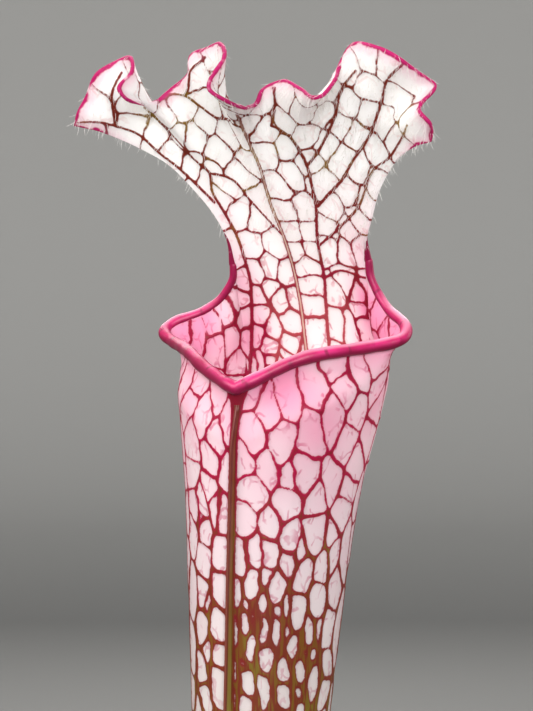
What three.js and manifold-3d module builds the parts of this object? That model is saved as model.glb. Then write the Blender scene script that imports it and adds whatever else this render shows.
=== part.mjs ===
// A white-topped trumpet pitcher plant in a plain round nursery pot, in millimetres, +Z up.
// The origin is the middle of the pot's underside, and the pitcher's keel faces -Y.
// The pitcher is one leaf: a slender tube with a wing down its front, a mouth whose edge is rolled
// into a lip, and a narrow neck that carries a ruffled hood over the mouth.

import * as THREE from "three";
import { mergeVertices } from "three/addons/utils/BufferGeometryUtils.js";
import Module from "manifold-3d";

const wasm = await Module();
wasm.setup();

// ---- driving dimensions ----

const FIT_GAP = 0.3; // clearance between pieces that touch

const POT_HEIGHT = 122;
const POT_RIM_RADIUS = 70;
const POT_COLLAR_HEIGHT = 14;
const POT_BASE_RADIUS = 50;
const POT_WALL = 1.8;
const POT_FLOOR = 2.4;
const DRAIN_HOLES = 8;
const DRAIN_HOLE_RADIUS = 4.5;
const DRAIN_CIRCLE_RADIUS = 36;

const SOIL_TOP = 106;
const SOIL_LUMP = 1.3;

const RHIZOME_LENGTH = 66;
const RHIZOME_RADIUS = 13;

const MOUTH_CENTRE = new THREE.Vector3(9, 5, 440); // tube axis at the front of the lip
const TUBE_BASE_Z = -332; // the numbers for the pitcher are from the mouth's centre
const LEAF_THICKNESS = 0.9;
const CAVITY_START = 0.14; // share of the lower tube that is solid stalk

const WING_THICKNESS = 1.6;
const NET_RISE = 0.75; // how thick the raised veins are
const NET_CLEARANCE = 0.5;
const NET_FOOT = -118; // where the raised veins fade out down the tube

// ---- curves and meshes ----

const degrees = (angle) => (angle * Math.PI) / 180;
const mix = (a, b, share) => a + (b - a) * share;
const clamp = THREE.MathUtils.clamp;
const vector = (x, y, z) => new THREE.Vector3(x, y, z);

// Seeded random numbers in 0..1.
function randomFrom(seed) {
  let state = seed;
  return () => {
    state = (state * 1664525 + 1013904223) % 4294967296;
    return state / 4294967296;
  };
}

// A smooth curve through values at rising knots; each value is a list of numbers.
function curveThrough(knots, values) {
  const slope = (i) => {
    const before = Math.max(i - 1, 0);
    const after = Math.min(i + 1, knots.length - 1);
    const span = knots[after] - knots[before];
    return values[i].map((_, c) => (values[after][c] - values[before][c]) / span);
  };
  return (at) => {
    const x = clamp(at, knots[0], knots[knots.length - 1]);
    let i = 0;
    while (i < knots.length - 2 && x > knots[i + 1]) i += 1;
    const span = knots[i + 1] - knots[i];
    const t = (x - knots[i]) / span;
    const leave = slope(i);
    const arrive = slope(i + 1);
    return values[i].map((start, c) => {
      const end = values[i + 1][c];
      return (
        start * (2 * t ** 3 - 3 * t ** 2 + 1) +
        leave[c] * span * (t ** 3 - 2 * t ** 2 + t) +
        end * (3 * t ** 2 - 2 * t ** 3) +
        arrive[c] * span * (t ** 3 - t ** 2)
      );
    });
  };
}

// Knots from 0 to 1 that are spaced as the points are.
function chordKnots(points) {
  const along = [0];
  for (let i = 1; i < points.length; i += 1) {
    const step = Math.hypot(...points[i].map((v, c) => v - points[i - 1][c]));
    along.push(along[i - 1] + step);
  }
  return along.map((d) => d / along[along.length - 1]);
}

function meshOf(positions, triangles) {
  return new THREE.BufferGeometry()
    .setAttribute("position", new THREE.Float32BufferAttribute(positions, 3))
    .setIndex(triangles);
}

function solidFrom(geometry) {
  const bare = geometry.clone();
  bare.deleteAttribute("normal");
  bare.deleteAttribute("uv");
  const merged = mergeVertices(bare, 1e-4);
  return new wasm.Manifold(
    new wasm.Mesh({
      numProp: 3,
      vertProperties: merged.attributes.position.array,
      triVerts: new Uint32Array(merged.index.array),
    }),
  );
}

// The largest connected piece of a solid, as three.js geometry.
function geometryFrom(solid) {
  const pieces = solid.decompose();
  const largest = pieces.reduce((a, b) => (b.volume() > a.volume() ? b : a));
  const mesh = largest.getMesh();
  return meshOf(Array.from(mesh.vertProperties), Array.from(mesh.triVerts));
}

// A closed body of rings of points, each ring with the same number, capped at both ends.
function loft(rings) {
  const sides = rings[0].length;
  const positions = rings.flat().flatMap((p) => [p.x, p.y, p.z]);
  const triangles = [];
  for (let r = 0; r < rings.length - 1; r += 1) {
    for (let k = 0; k < sides; k += 1) {
      const a = r * sides + k;
      const b = r * sides + ((k + 1) % sides);
      triangles.push(a, b, b + sides, a, b + sides, a + sides);
    }
  }
  const last = (rings.length - 1) * sides;
  for (let k = 1; k < sides - 1; k += 1) {
    triangles.push(0, k + 1, k);
    triangles.push(last, last + k, last + k + 1);
  }
  return meshOf(positions, triangles);
}

// Rings round a path: section(share) gives each ring's outline as [across, over] pairs, and over
// points along the side that faces up at the start.
function sweep(path, steps, section, side) {
  const rings = [];
  for (let i = 0; i <= steps; i += 1) {
    const share = i / steps;
    const centre = path(share);
    const ahead = path(Math.min(share + 0.01, 1));
    const behind = path(Math.max(share - 0.01, 0));
    const along = ahead.sub(behind).normalize();
    const across = new THREE.Vector3().crossVectors(side, along).normalize();
    const over = new THREE.Vector3().crossVectors(along, across);
    rings.push(
      section(share).map(([u, v]) =>
        centre.clone().addScaledVector(across, u).addScaledVector(over, v),
      ),
    );
  }
  return loft(rings);
}

const ring = (sides, width, height = width) =>
  Array.from({ length: sides }, (_, k) => {
    const angle = (2 * Math.PI * k) / sides;
    return [width * Math.cos(angle), height * Math.sin(angle)];
  });

// ---- the pitcher's form, from the mouth's centre ----

// The tube's middle line as [x, y] and its radius, by height.
const TUBE_HEIGHTS = [-332, -300, -250, -200, -150, -110, -77, -48, -27, -10, 4, 20];
const tubeMiddle = curveThrough(TUBE_HEIGHTS, [
  [-15, -8], [-15.2, -8.3], [-14, -8], [-11.6, -6.6], [-8.6, -4.6], [-6.2, -3.2],
  [-4.6, -2.3], [-3.4, -1.7], [-2.2, -1.1], [-0.7, -0.4], [0.2, 0], [0.6, 0.2],
]);
const tubeRadius = curveThrough(TUBE_HEIGHTS, [
  [4.4], [4.9], [6.3], [8.6], [11.5], [13.9], [16.3], [18.5], [20.4], [23.2], [25.3], [26.2],
]);

// The mouth's edge, by the angle from the keel: x, y, z. It has a spout at the keel, a wing at
// each side and runs up to the neck. The other side mirrors it, a little lower and further out.
const NECK_ANGLE = 133;
const mouthEdge = curveThrough(
  [0, 7, 25, 40, 58, 70, 79, 86, 91, 96, 101, 106, 112, 120, 127, NECK_ANGLE],
  [
    [0, -24.5, 0], [3.2, -23.4, 1.4], [11.2, -18.2, 5.4], [16.8, -13.9, 7.6], [22.4, -8, 8.9],
    [26.6, -3.4, 9.8], [29.8, -0.6, 10.6], [32.2, 0.9, 11.6], [33.5, 2.4, 12.8],
    [33.4, 4.1, 14.5], [31.8, 5.8, 16.4], [29.2, 7.4, 17.9], [25.8, 9.2, 19.6],
    [21.9, 10.6, 22.4], [19.4, 10.4, 25.6], [18.3, 9.6, 29],
  ],
);
const MOUTH_TILT = 0.03;
const MOUTH_SHIFT = -0.5;
// The two sides aren't alike: how far the edge moves to the right and up, by the angle from the
// keel, which is below 0 on the left. The right corner hangs lower and stands out less.
const edgeMoves = curveThrough(
  [
    -NECK_ANGLE, -127, -118, -108, -98, -90, -62, -42, -31, -20, -11, 0,
    20, 31, 42, 62, 79, 90, 98, 108, 116, 122, 127, NECK_ANGLE,
  ],
  [
    [0, 0], [0.5, -0.6], [0, -1.9], [0, -2], [0, -1], [0, -0.2], [0, -0.1], [0, -0.4],
    [0, -0.7], [0, -0.9], [0, -0.5], [0, 0], [0, 0.3], [0, 0.1], [0, -0.35], [-0.5, -0.9],
    [-1.6, -1.6], [-2.2, -2.3], [-2.3, -2.6], [-2, -2.6], [-1.6, -2.1], [-1.4, -1.3],
    [-1, -0.6], [0, 0],
  ],
);

// The hood is a patch from the neck up to the ruffled margin, between its left and right edges.
const HOOD_LEFT = [
  [-18.8, 9.6, 28.4], [-18.6, 7, 34.2], [-20.6, 4, 40.4], [-24.5, 1, 46.4], [-29.8, -2, 52.5],
  [-35.7, -4, 56.2], [-41.6, -6, 59.1], [-46.6, -8, 61.1], [-52.6, -9, 62.4],
];
const HOOD_RIGHT = [
  [17.8, 9.6, 29.5], [18.6, 7, 34.3], [21.3, 4, 39.5], [24.4, 1, 45.4], [27.9, -1, 50.2],
  [31.8, -3, 53.8], [36.4, -5, 56], [41.3, -7, 57],
];
// The margin with its lobes and folds, from the left tip to the notch at the midrib...
const MARGIN_LEFT = [
  [-52.6, -9, 62.4], [-48.7, -12, 67.3], [-43.2, -14, 74.3], [-39, -12.5, 77.3],
  [-33.7, -14, 78.1], [-30.5, -20, 74], [-31.2, -24, 70.1], [-29.4, -22, 67.1],
  [-28.8, -14, 66.7], [-24.8, -10, 70.6], [-19.3, -12, 73.7], [-17.6, -14, 78],
  [-12.5, -16, 79.3], [-6.6, -19, 80.1], [-2.4, -26, 76], [-3.9, -30, 69],
  [-0.6, -28, 66.1], [0.2, -20, 64.8],
];
// ...and from there to the right tip.
const MARGIN_RIGHT = [
  [0.2, -20, 64.8], [0.7, -15, 66.4], [1.6, -13, 69.8], [7.2, -14, 71.4], [13.3, -18, 69.2],
  [18.6, -22, 66.7], [20.9, -21, 67.2], [21.2, -16, 70.9], [20, -11, 74.5], [23.9, -12, 79.3],
  [31.1, -14, 78.2], [36.1, -13, 75.6], [39.3, -9, 72.3], [42, -6, 69.3], [39.4, -9, 65],
  [41.6, -13, 63], [43.4, -12, 60.6], [41.3, -7, 57],
];
// The margin as it would run without ruffles.
const calmMargin = curveThrough(
  [-1, -0.62, -0.3, 0, 0.3, 0.62, 0.85, 1],
  [
    [-52.6, -9, 62.4], [-38, -15, 73], [-18, -17, 74], [0.2, -18.5, 70], [15, -17, 71],
    [30, -13, 74], [40, -9.5, 67], [41.3, -7, 57],
  ],
);
const NECK_MIDDLE = [-2.2, 11, 29.2];
const RUFFLE_POWER = 4; // the ruffles fade out quickly below the margin
const MIDRIB_SHIFT = [-3.6, 1, 0];

const hoodLeft = curveThrough(chordKnots(HOOD_LEFT), HOOD_LEFT);
const hoodRight = curveThrough(chordKnots(HOOD_RIGHT), HOOD_RIGHT);
const marginLeft = curveThrough(chordKnots(MARGIN_LEFT), MARGIN_LEFT);
const marginRight = curveThrough(chordKnots(MARGIN_RIGHT), MARGIN_RIGHT);
const margin = (u) => (u < 0 ? marginLeft(u + 1) : marginRight(u));
const neckLine = curveThrough([-1, -0.5, 0, 0.5, 1], [
  HOOD_LEFT[0], [-11, 10.8, 29], NECK_MIDDLE, [8.4, 10.9, 29.4], HOOD_RIGHT[0],
]);

// u runs across the hood from -1 at the left edge to 1 at the right, s up from the neck to 1.
function hoodPoint(u, s) {
  const across = (u + 1) / 2;
  const left = hoodLeft(s);
  const right = hoodRight(s);
  const bottom = neckLine(u);
  const top = calmMargin(u);
  const ruffled = margin(u);
  const [bottomLeft, bottomRight] = [HOOD_LEFT[0], HOOD_RIGHT[0]];
  const [topLeft, topRight] = [calmMargin(-1), calmMargin(1)];
  const middle = 4 * s * (1 - s) * (1 - u * u);
  const point = [0, 1, 2].map((c) => {
    const edges = mix(left[c], right[c], across) + mix(bottom[c], top[c], s);
    const low = mix(bottomLeft[c], bottomRight[c], across);
    const high = mix(topLeft[c], topRight[c], across);
    const ruffle = (ruffled[c] - top[c]) * s ** RUFFLE_POWER;
    return edges - mix(low, high, s) + middle * MIDRIB_SHIFT[c] + ruffle;
  });
  return vector(...point);
}

// The mouth's edge and neck line as one closed ring; the angle is 0 at the keel, 180 at the back.
function topOfTube(angle) {
  const turned = ((((angle + 180) % 360) + 360) % 360) - 180;
  if (Math.abs(turned) >= NECK_ANGLE) {
    const u = (180 - Math.abs(turned)) / (180 - NECK_ANGLE);
    return vector(...neckLine(turned > 0 ? u : -u));
  }
  const [x, y, z] = mouthEdge(Math.abs(turned));
  const [right, up] = edgeMoves(turned);
  const side = Math.sign(turned) * x;
  return vector(side + (MOUTH_SHIFT * x) / 33 + right, y, z + MOUTH_TILT * side + up);
}

// Where each side of the tube leaves its round form to flare into the mouth's edge.
const flareStart = curveThrough([0, 40, 94, NECK_ANGLE, 180], [[-14], [-7], [1], [-5], [-16]]);
// How the surface leans out from the axis and how it rises where it meets the edge.
const flareLean = curveThrough(
  [0, 60, 94, 110, 127, NECK_ANGLE],
  [[0.5, 0.87], [0.75, 0.66], [0.9, 0.44], [0.62, 0.78], [0.1, 1], [-0.25, 0.97]],
);

function roundPoint(angle, height) {
  const [x, y] = tubeMiddle(height);
  const [radius] = tubeRadius(height);
  const turn = degrees(angle);
  return vector(x + radius * Math.sin(turn), y - radius * Math.cos(turn), height);
}

// Angles from the keel round either side, 0 to 180.
const fromKeel = (angle) => Math.abs(((((angle + 180) % 360) + 360) % 360) - 180);

// The flaring part of the tube's side, with t from 0 in the round form to 1 at the mouth's edge.
const LEAN_ACROSS_EDGE = 0.6; // how far the flare turns to meet the edge squarely
function flarePoint(angle, t) {
  const turned = fromKeel(angle);
  const [start] = flareStart(turned);
  const from = roundPoint(angle, start);
  const to = topOfTube(angle);
  const reach = from.distanceTo(to);
  const leave = from.clone().sub(roundPoint(angle, start - 2)).normalize();
  let arrive;
  if (turned >= NECK_ANGLE) {
    const u = ((180 - turned) / (180 - NECK_ANGLE)) * (angle % 360 > 180 ? -1 : 1);
    arrive = hoodPoint(u, 0.06).sub(hoodPoint(u, 0)).normalize();
  } else {
    const [lean, rise] = flareLean(turned);
    const turn = degrees(angle);
    const edge = topOfTube(angle + 2).sub(topOfTube(angle - 2)).normalize();
    arrive = vector(lean * Math.sin(turn), -lean * Math.cos(turn), rise);
    arrive.addScaledVector(edge, -LEAN_ACROSS_EDGE * arrive.dot(edge)).normalize();
  }
  return from
    .multiplyScalar(2 * t ** 3 - 3 * t ** 2 + 1)
    .addScaledVector(leave, reach * (t ** 3 - 2 * t ** 2 + t))
    .addScaledVector(to, 3 * t ** 2 - 2 * t ** 3)
    .addScaledVector(arrive, reach * (t ** 3 - t ** 2));
}

// The lip tapers away at the neck, and each side of the leaf stops where it comes clear of it.
const LIP_END = 121;
const lipRadius = curveThrough([0, 94, 109, LIP_END], [[1.6], [1.45], [1.15], [0.85]]);
const EDGE_ANGLES = [
  0, 6, 14, 24, 36, 48, 58, 66, 73, 79, 85, 90, 94, 98, 103, 109, 115, 121, 127, NECK_ANGLE,
];
function edgeClearOfLip(angle) {
  const nearLip = Array.from({ length: 31 }, (_, i) => angle - 30 + 2 * i).filter((a) => a <= LIP_END);
  const clear = (t) => {
    const point = flarePoint(angle, t);
    return nearLip.every((a) => topOfTube(a).distanceTo(point) > lipRadius(Math.abs(a))[0] + FIT_GAP);
  };
  let t = 1;
  while (t > 0.5 && !clear(t)) t -= 0.01;
  return t;
}
const leafEdge = curveThrough(EDGE_ANGLES, EDGE_ANGLES.map((angle) => [edgeClearOfLip(angle)]));

// level runs from 0 at the tube's foot through 1, where it starts to flare, to 2 at the edge.
function tubePoint(angle, level) {
  const turned = fromKeel(angle);
  if (level <= 1) return roundPoint(angle, mix(TUBE_BASE_Z, flareStart(turned)[0], level));
  return flarePoint(angle, (level - 1) * leafEdge(turned)[0]);
}

// A point raised from the middle of the leaf: outwards on the tube, to the back on the hood.
function raised(point, a, b, step, height) {
  const alongA = point(a + step[0], b).sub(point(a - step[0], b));
  const low = Math.max(b - step[1], 0);
  const high = Math.min(b + step[1], step[2]);
  const alongB = point(a, high).sub(point(a, low));
  return point(a, b).addScaledVector(alongA.cross(alongB).normalize(), height);
}
const onTube = (angle, level, height) =>
  raised(tubePoint, angle, level, [1, 0.03, 2], height);
const onHood = (u, s, height) => {
  const clear = clamp(u, -0.98, 0.98);
  const point = hoodPoint(u, s);
  const lift = raised(hoodPoint, clear, s, [0.02, 0.02, 1], -height);
  return point.add(lift.sub(hoodPoint(clear, s)));
};

// ---- the pitcher as a closed sheet ----

const MOUTH_ANGLES = [5, 11, 20, 31, 42, 52, 62, 71, 79, 85, 90, 94, 98, 103, 109, 115, 121, 127];
const HOOD_COLUMNS = 30;
const TUBE_ANGLES = Array.from(
  { length: HOOD_COLUMNS + 1 },
  (_, k) => NECK_ANGLE + (2 * (180 - NECK_ANGLE) * k) / HOOD_COLUMNS,
).concat(
  [...MOUTH_ANGLES].reverse().map((angle) => 360 - angle),
  360,
  MOUTH_ANGLES.map((angle) => 360 + angle),
);
const LEVELS = [0, 0.14, 0.34, 0.52, 0.66, 0.78, 0.87, 0.94, 1, 1.17, 1.34, 1.5, 1.66, 1.83, 2];
const HOOD_ROWS = 11;
const HOOD_ACROSS = Array.from({ length: HOOD_COLUMNS + 1 }, (_, k) => 1 - (2 * k) / HOOD_COLUMNS);
const HOOD_UP = Array.from({ length: HOOD_ROWS + 1 }, (_, r) => 1 - (1 - r / HOOD_ROWS) ** 1.25);

// Both faces of the leaf share one grid, so that they are split into triangles alike.
// extra makes it thicker, to cut its neighbours clear of it.
function leafSheet(extra) {
  const half = LEAF_THICKNESS / 2 + extra;
  const columns = TUBE_ANGLES.length;
  const positions = [];
  const add = (p) => positions.push(p.x, p.y, p.z) / 3 - 1;
  const face = (side, firstLevel) =>
    LEVELS.map((level) => {
      if (level < firstLevel) return null;
      return TUBE_ANGLES.map((angle) => add(onTube(angle, level, side * half)));
    });
  const outer = face(1, 0);
  const inner = face(-1, CAVITY_START);
  const hood = (side) =>
    HOOD_UP.slice(1).map((s) => HOOD_ACROSS.map((u) => add(onHood(u, s, side * half))));
  const top = LEVELS.length - 1;
  const outerHood = [outer[top].slice(0, HOOD_COLUMNS + 1), ...hood(1)];
  const innerHood = [inner[top].slice(0, HOOD_COLUMNS + 1), ...hood(-1)];

  const triangles = [];
  const quad = (a, b, c, d) => triangles.push(a, b, c, a, c, d);
  const skin = (rows, closed, outward) => {
    for (let r = 0; r < rows.length - 1; r += 1) {
      if (!rows[r]) continue;
      const count = closed ? rows[r].length : rows[r].length - 1;
      for (let k = 0; k < count; k += 1) {
        const n = (k + 1) % rows[r].length;
        const [a, b, c, d] = [rows[r][k], rows[r][n], rows[r + 1][n], rows[r + 1][k]];
        if (outward) triangles.push(a, b, c, a, c, d);
        else triangles.push(a, c, b, a, d, c);
      }
    }
  };
  skin(outer, true, true);
  skin(inner, true, false);
  skin(outerHood, false, true);
  skin(innerHood, false, false);
  // the rolled part of the edge, the hood's two sides and its margin
  for (let k = HOOD_COLUMNS; k < columns; k += 1) {
    const n = (k + 1) % columns;
    quad(outer[top][k], outer[top][n], inner[top][n], inner[top][k]);
  }
  for (let r = 0; r < HOOD_ROWS; r += 1) {
    const [a, b] = [outerHood[r], outerHood[r + 1]];
    const [c, d] = [innerHood[r], innerHood[r + 1]];
    const last = HOOD_COLUMNS;
    quad(a[last], c[last], d[last], b[last]);
    quad(c[0], a[0], b[0], d[0]);
  }
  const [outerMargin, innerMargin] = [outerHood[HOOD_ROWS], innerHood[HOOD_ROWS]];
  for (let k = 0; k < HOOD_COLUMNS; k += 1) {
    quad(outerMargin[k], outerMargin[k + 1], innerMargin[k + 1], innerMargin[k]);
  }
  // the foot and the floor of the hollow
  const floorRow = inner.find((row) => row);
  const [footX, footY] = tubeMiddle(TUBE_BASE_Z);
  const foot = add(vector(footX, footY, TUBE_BASE_Z));
  const floorLevel = LEVELS.find((level) => level >= CAVITY_START);
  const floor = add(
    [0, 90, 180, 270]
      .map((angle) => tubePoint(angle, floorLevel))
      .reduce((sum, p) => sum.add(p), vector(0, 0, 0))
      .divideScalar(4),
  );
  for (let k = 0; k < columns; k += 1) {
    const n = (k + 1) % columns;
    triangles.push(outer[0][n], outer[0][k], foot);
    triangles.push(floorRow[k], floorRow[n], floor);
  }
  return meshOf(positions, triangles);
}

// The wing is a narrow blade that runs up the keel and dies out under the lip.
const WING_TOP = 1.72;
const wingDepth = curveThrough(
  [0.1, 0.2, 0.45, 0.75, 1, 1.5, WING_TOP],
  [[0.4], [3.6], [5.2], [3], [1.7], [1.2], [0.5]],
);
function wing() {
  const steps = 24;
  const rings = Array.from({ length: steps + 1 }, (_, i) => {
    const level = mix(0.1, WING_TOP, i / steps);
    const [depth] = wingDepth(level);
    const root = onTube(0, level, -LEAF_THICKNESS * 0.2);
    const crest = onTube(0, level, LEAF_THICKNESS / 2 + depth);
    const half = WING_THICKNESS / 2;
    return [
      root.clone().setX(root.x + half),
      root.clone().setX(root.x - half),
      crest.clone().setX(crest.x - half * 0.6),
      crest.clone().setX(crest.x + half * 0.6),
    ];
  });
  return loft(rings);
}

// The lip is the mouth's edge rolled into a cord that thins out towards the neck.
const LIP_SIDE = MOUTH_ANGLES.slice(0, -1);
const LIP_ANGLES = [...LIP_SIDE].reverse().map((angle) => -angle).concat(0, LIP_SIDE);
function lip() {
  const steps = LIP_ANGLES.length - 1;
  const angleAt = (share) => {
    const at = clamp(share, 0, 1) * steps;
    const i = Math.min(Math.floor(at + 1e-9), steps - 1);
    return mix(LIP_ANGLES[i], LIP_ANGLES[i + 1], at - i);
  };
  const section = (share) => ring(8, lipRadius(Math.abs(angleAt(share)))[0]);
  return sweep((share) => topOfTube(angleAt(share)), steps, section, vector(0, 0, 1));
}

// The two entries of a list on either side of a value, and how far it is from the first to the second.
function between(list, value) {
  const rising = list[1] > list[0];
  let i = 0;
  while (i < list.length - 2 && (rising ? value > list[i + 1] : value < list[i + 1])) i += 1;
  return [list[i], list[i + 1], clamp((value - list[i]) / (list[i + 1] - list[i]), 0, 1)];
}

// A point raised from the flat facets of the leaf's grid instead of from its true curve.
function overFacets(on, listA, listB) {
  return (a, b, height) => {
    const [a0, a1, shareA] = between(listA, a);
    const [b0, b1, shareB] = between(listB, b);
    const low = on(a0, b0, height).lerp(on(a1, b0, height), shareA);
    const high = on(a0, b1, height).lerp(on(a1, b1, height), shareA);
    return low.lerp(high, shareB);
  };
}
const overTubeFacets = overFacets(onTube, TUBE_ANGLES, LEVELS);
const overHoodFacets = overFacets(onHood, HOOD_ACROSS, HOOD_UP);

// The tube by height instead: share runs from 0 at the net's foot to 1 at its top.
const netTop = curveThrough([0, 40, 75, 94, 115, 180], [[-3.5], [2], [6], [7], [4], [2]]);
function overTubeByHeight(angle, share, height) {
  const turned = fromKeel(angle);
  const [start] = flareStart(turned);
  const edge = tubePoint(angle, 2).z;
  const z = mix(NET_FOOT, netTop(turned)[0], share);
  const below = (z - TUBE_BASE_Z) / (start - TUBE_BASE_Z);
  const level = z < start ? below : 1 + (z - start) / (edge - start);
  return overTubeFacets(angle < NECK_ANGLE ? angle + 360 : angle, level, height);
}

// The back wall of the mouth and the hood as one surface: v is below 0 inside the tube.
function overBackAndHood(u, v, height) {
  if (v >= 0) return overHoodFacets(u, v, -height);
  return overTubeFacets(180 - u * (180 - NECK_ANGLE), 2 + v * 1.4, -height);
}

// A net of veins as a lattice of six-sided cells, raised from the leaf by the function on.
// Each cell is a frame round a window, and the windows grow from the first row to the last.
function veinNet({ lanes, rows, low, high, from, to, window, on, jitter, seed }) {
  const pitch = (to - from) / rows; // the top row ends in a straight vein
  const lane = (high - low) / lanes;
  const random = randomFrom(seed);
  const corners = new Map();
  const positions = [];
  const add = (p) => positions.push(p.x, p.y, p.z) / 3 - 1;
  const both = (a, b) => {
    const bottom = NET_CLEARANCE + LEAF_THICKNESS / 2;
    return [add(on(a, b, bottom + NET_RISE)), add(on(a, b, bottom))];
  };
  const cornerAt = (a, b) => {
    const key = `${Math.round((a - low) / lane * 2)} ${Math.round(((b - from) / pitch) * 10)}`;
    if (!corners.has(key)) {
      const inside = a > low + lane * 0.25 && a < high - lane * 0.25;
      const shiftA = inside ? (random() - 0.5) * lane * jitter : 0;
      const shiftB = (random() - 0.5) * pitch * jitter;
      const at = [clamp(a, low, high) + shiftA, clamp(b + shiftB, from, to)];
      corners.set(key, { at, ids: both(...at) });
    }
    return corners.get(key);
  };
  const triangles = [];
  const used = new Map();
  for (let row = 0; row < rows; row += 1) {
    const staggered = row % 2;
    const middleB = from + pitch * (row + 0.7);
    for (let k = 0; k < lanes + staggered; k += 1) {
      const middleA = low + lane * (k + (staggered ? 0 : 0.5));
      const outline = [[0, 0.7], [-0.5, 0.3], [-0.5, -0.3], [0, -0.7], [0.5, -0.3], [0.5, 0.3]]
        .map(([a, b]) => [middleA + a * lane, middleB + b * pitch])
        .map(([a, b]) => cornerAt(clamp(a, low, high), b))
        .filter((corner, i, all) => corner !== all[(i + 1) % all.length]);
      const centre = [0, 1].map((c) => outline.reduce((sum, o) => sum + o.at[c], 0) / outline.length);
      const open = mix(window[0], window[1], row / (rows - 1));
      const frame = outline.map(({ at }) =>
        both(mix(centre[0], at[0], open), mix(centre[1], at[1], open)),
      );
      outline.forEach((corner, i) => {
        const next = (i + 1) % outline.length;
        const [v, w] = [corner.ids, outline[next].ids];
        const [p, q] = [frame[i], frame[next]];
        triangles.push(v[0], w[0], q[0], v[0], q[0], p[0]);
        triangles.push(v[1], q[1], w[1], v[1], p[1], q[1]);
        triangles.push(p[0], q[0], q[1], p[0], q[1], p[1]);
        const back = `${w[0]} ${v[0]}`;
        if (used.has(back)) used.delete(back);
        else used.set(`${v[0]} ${w[0]}`, [v, w]);
      });
    }
  }
  for (const [v, w] of used.values()) triangles.push(w[0], v[0], v[1], w[0], v[1], w[1]);
  return meshOf(positions, triangles);
}

// ---- the small leaves and the rhizome ----

const CROWN = vector(MOUTH_CENTRE.x - 15, MOUTH_CENTRE.y - 8, MOUTH_CENTRE.z + TUBE_BASE_Z);

// A path that rises from the crown and arches over: reach is how far out, height how far up.
function arch(start, heading, height, reach, droop) {
  const turn = degrees(heading);
  return (share) => {
    const out = reach * share ** 2;
    const up = height * (share - droop * share ** 3);
    return start.clone().add(vector(out * Math.sin(turn), -out * Math.cos(turn), up));
  };
}

// Sword leaves, which have no pitcher: flat blades that widen above a narrow stalk.
const SWORD_LEAVES = [
  { name: "sword_leaf_left", x: -12, y: 6, heading: 262, height: 172, reach: 46, width: 6.5 },
  { name: "sword_leaf_back", x: -1, y: 10, heading: 160, height: 198, reach: 38, width: 7.5 },
  { name: "sword_leaf_right", x: 11.5, y: 3, heading: 82, height: 146, reach: 42, width: 6 },
];
const swordWidth = curveThrough(
  [0, 0.12, 0.35, 0.7, 0.92, 1],
  [[0.32], [0.36], [0.85], [1], [0.5], [0.08]],
);
function swordLeaf({ x, y, heading, height, reach, width }) {
  const start = vector(CROWN.x + x, CROWN.y + y, CROWN.z);
  const turn = degrees(heading);
  const path = arch(start, heading, height, reach, 0.08);
  const section = (share) => {
    const half = width * swordWidth(share)[0];
    const thick = mix(1.5, 0.6, share);
    return [
      [half, 0], [half * 0.5, thick * 0.8], [0, thick],
      [-half * 0.5, thick * 0.8], [-half, 0], [0, -thick * 0.7],
    ];
  };
  return sweep(path, 14, section, vector(Math.sin(turn), -Math.cos(turn), 0));
}

// A young pitcher that hasn't opened yet: a slim closed tube with its hood folded over the tip.
const YOUNG = { x: -2, y: -11.5, heading: 345, height: 158, reach: 20 };
const youngRadius = curveThrough(
  [0, 0.1, 0.4, 0.7, 0.82, 0.93, 1],
  [[2.4], [2.5], [3.6], [5.4], [6], [4.4], [0.8]],
);
function youngPitcher() {
  const start = vector(CROWN.x + YOUNG.x, CROWN.y + YOUNG.y, CROWN.z);
  const turn = degrees(YOUNG.heading);
  const path = arch(start, YOUNG.heading, YOUNG.height, YOUNG.reach, 0.02);
  const flat = (share) => mix(1, 0.62, clamp((share - 0.72) / 0.2, 0, 1));
  const section = (share) => {
    const [radius] = youngRadius(share);
    return ring(10, radius, radius * flat(share));
  };
  return sweep(path, 18, section, vector(Math.sin(turn), -Math.cos(turn), 0));
}

// The rhizome lies half sunk in the soil, ringed by the scars of old leaves.
const rhizomeRadius = curveThrough(
  [0, 0.06, 0.3, 0.6, 0.8, 0.95, 1],
  [[0.25], [0.55], [0.72], [0.9], [1.25], [1], [0.5]],
);
const RHIZOME_HEADING = 25; // degrees from +X, towards +Y
const RHIZOME_TIP_PAST_CROWN = 19;
const PITCHER_STALK_RADIUS = 5.3;
const YOUNG_STALK_RADIUS = 2.9;
function rhizome(extra) {
  const turn = degrees(RHIZOME_HEADING);
  const direction = vector(Math.cos(turn), Math.sin(turn), 0);
  const tip = vector(CROWN.x, CROWN.y, SOIL_TOP + 1).addScaledVector(direction, -RHIZOME_TIP_PAST_CROWN);
  const path = (share) =>
    tip
      .clone()
      .addScaledVector(direction, RHIZOME_LENGTH * (1 - share) + mix(extra, -extra, share))
      .add(vector(0, 0, -3 * (1 - share) ** 2));
  const rings = 18;
  const section = (share) => {
    const scar = Math.round(share * rings) % 2 ? 0.45 : -0.35;
    const radius = RHIZOME_RADIUS * rhizomeRadius(share)[0] + (share > 0.08 ? scar : 0) + extra;
    return ring(12, radius, radius * 0.82);
  };
  return sweep(path, rings, section, vector(0, 0, 1));
}

// A plain round hole that a stalk stands in, open at the top.
const SOCKET_REACH = 40; // long enough to come out above the rhizome
function socket(x, y, stalkRadius) {
  const radius = stalkRadius + FIT_GAP + 0.1;
  const drill = new THREE.CylinderGeometry(radius, radius, SOCKET_REACH, 16);
  drill.rotateX(Math.PI / 2);
  drill.translate(CROWN.x + x, CROWN.y + y, CROWN.z - FIT_GAP + SOCKET_REACH / 2);
  return solidFrom(drill);
}

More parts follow.
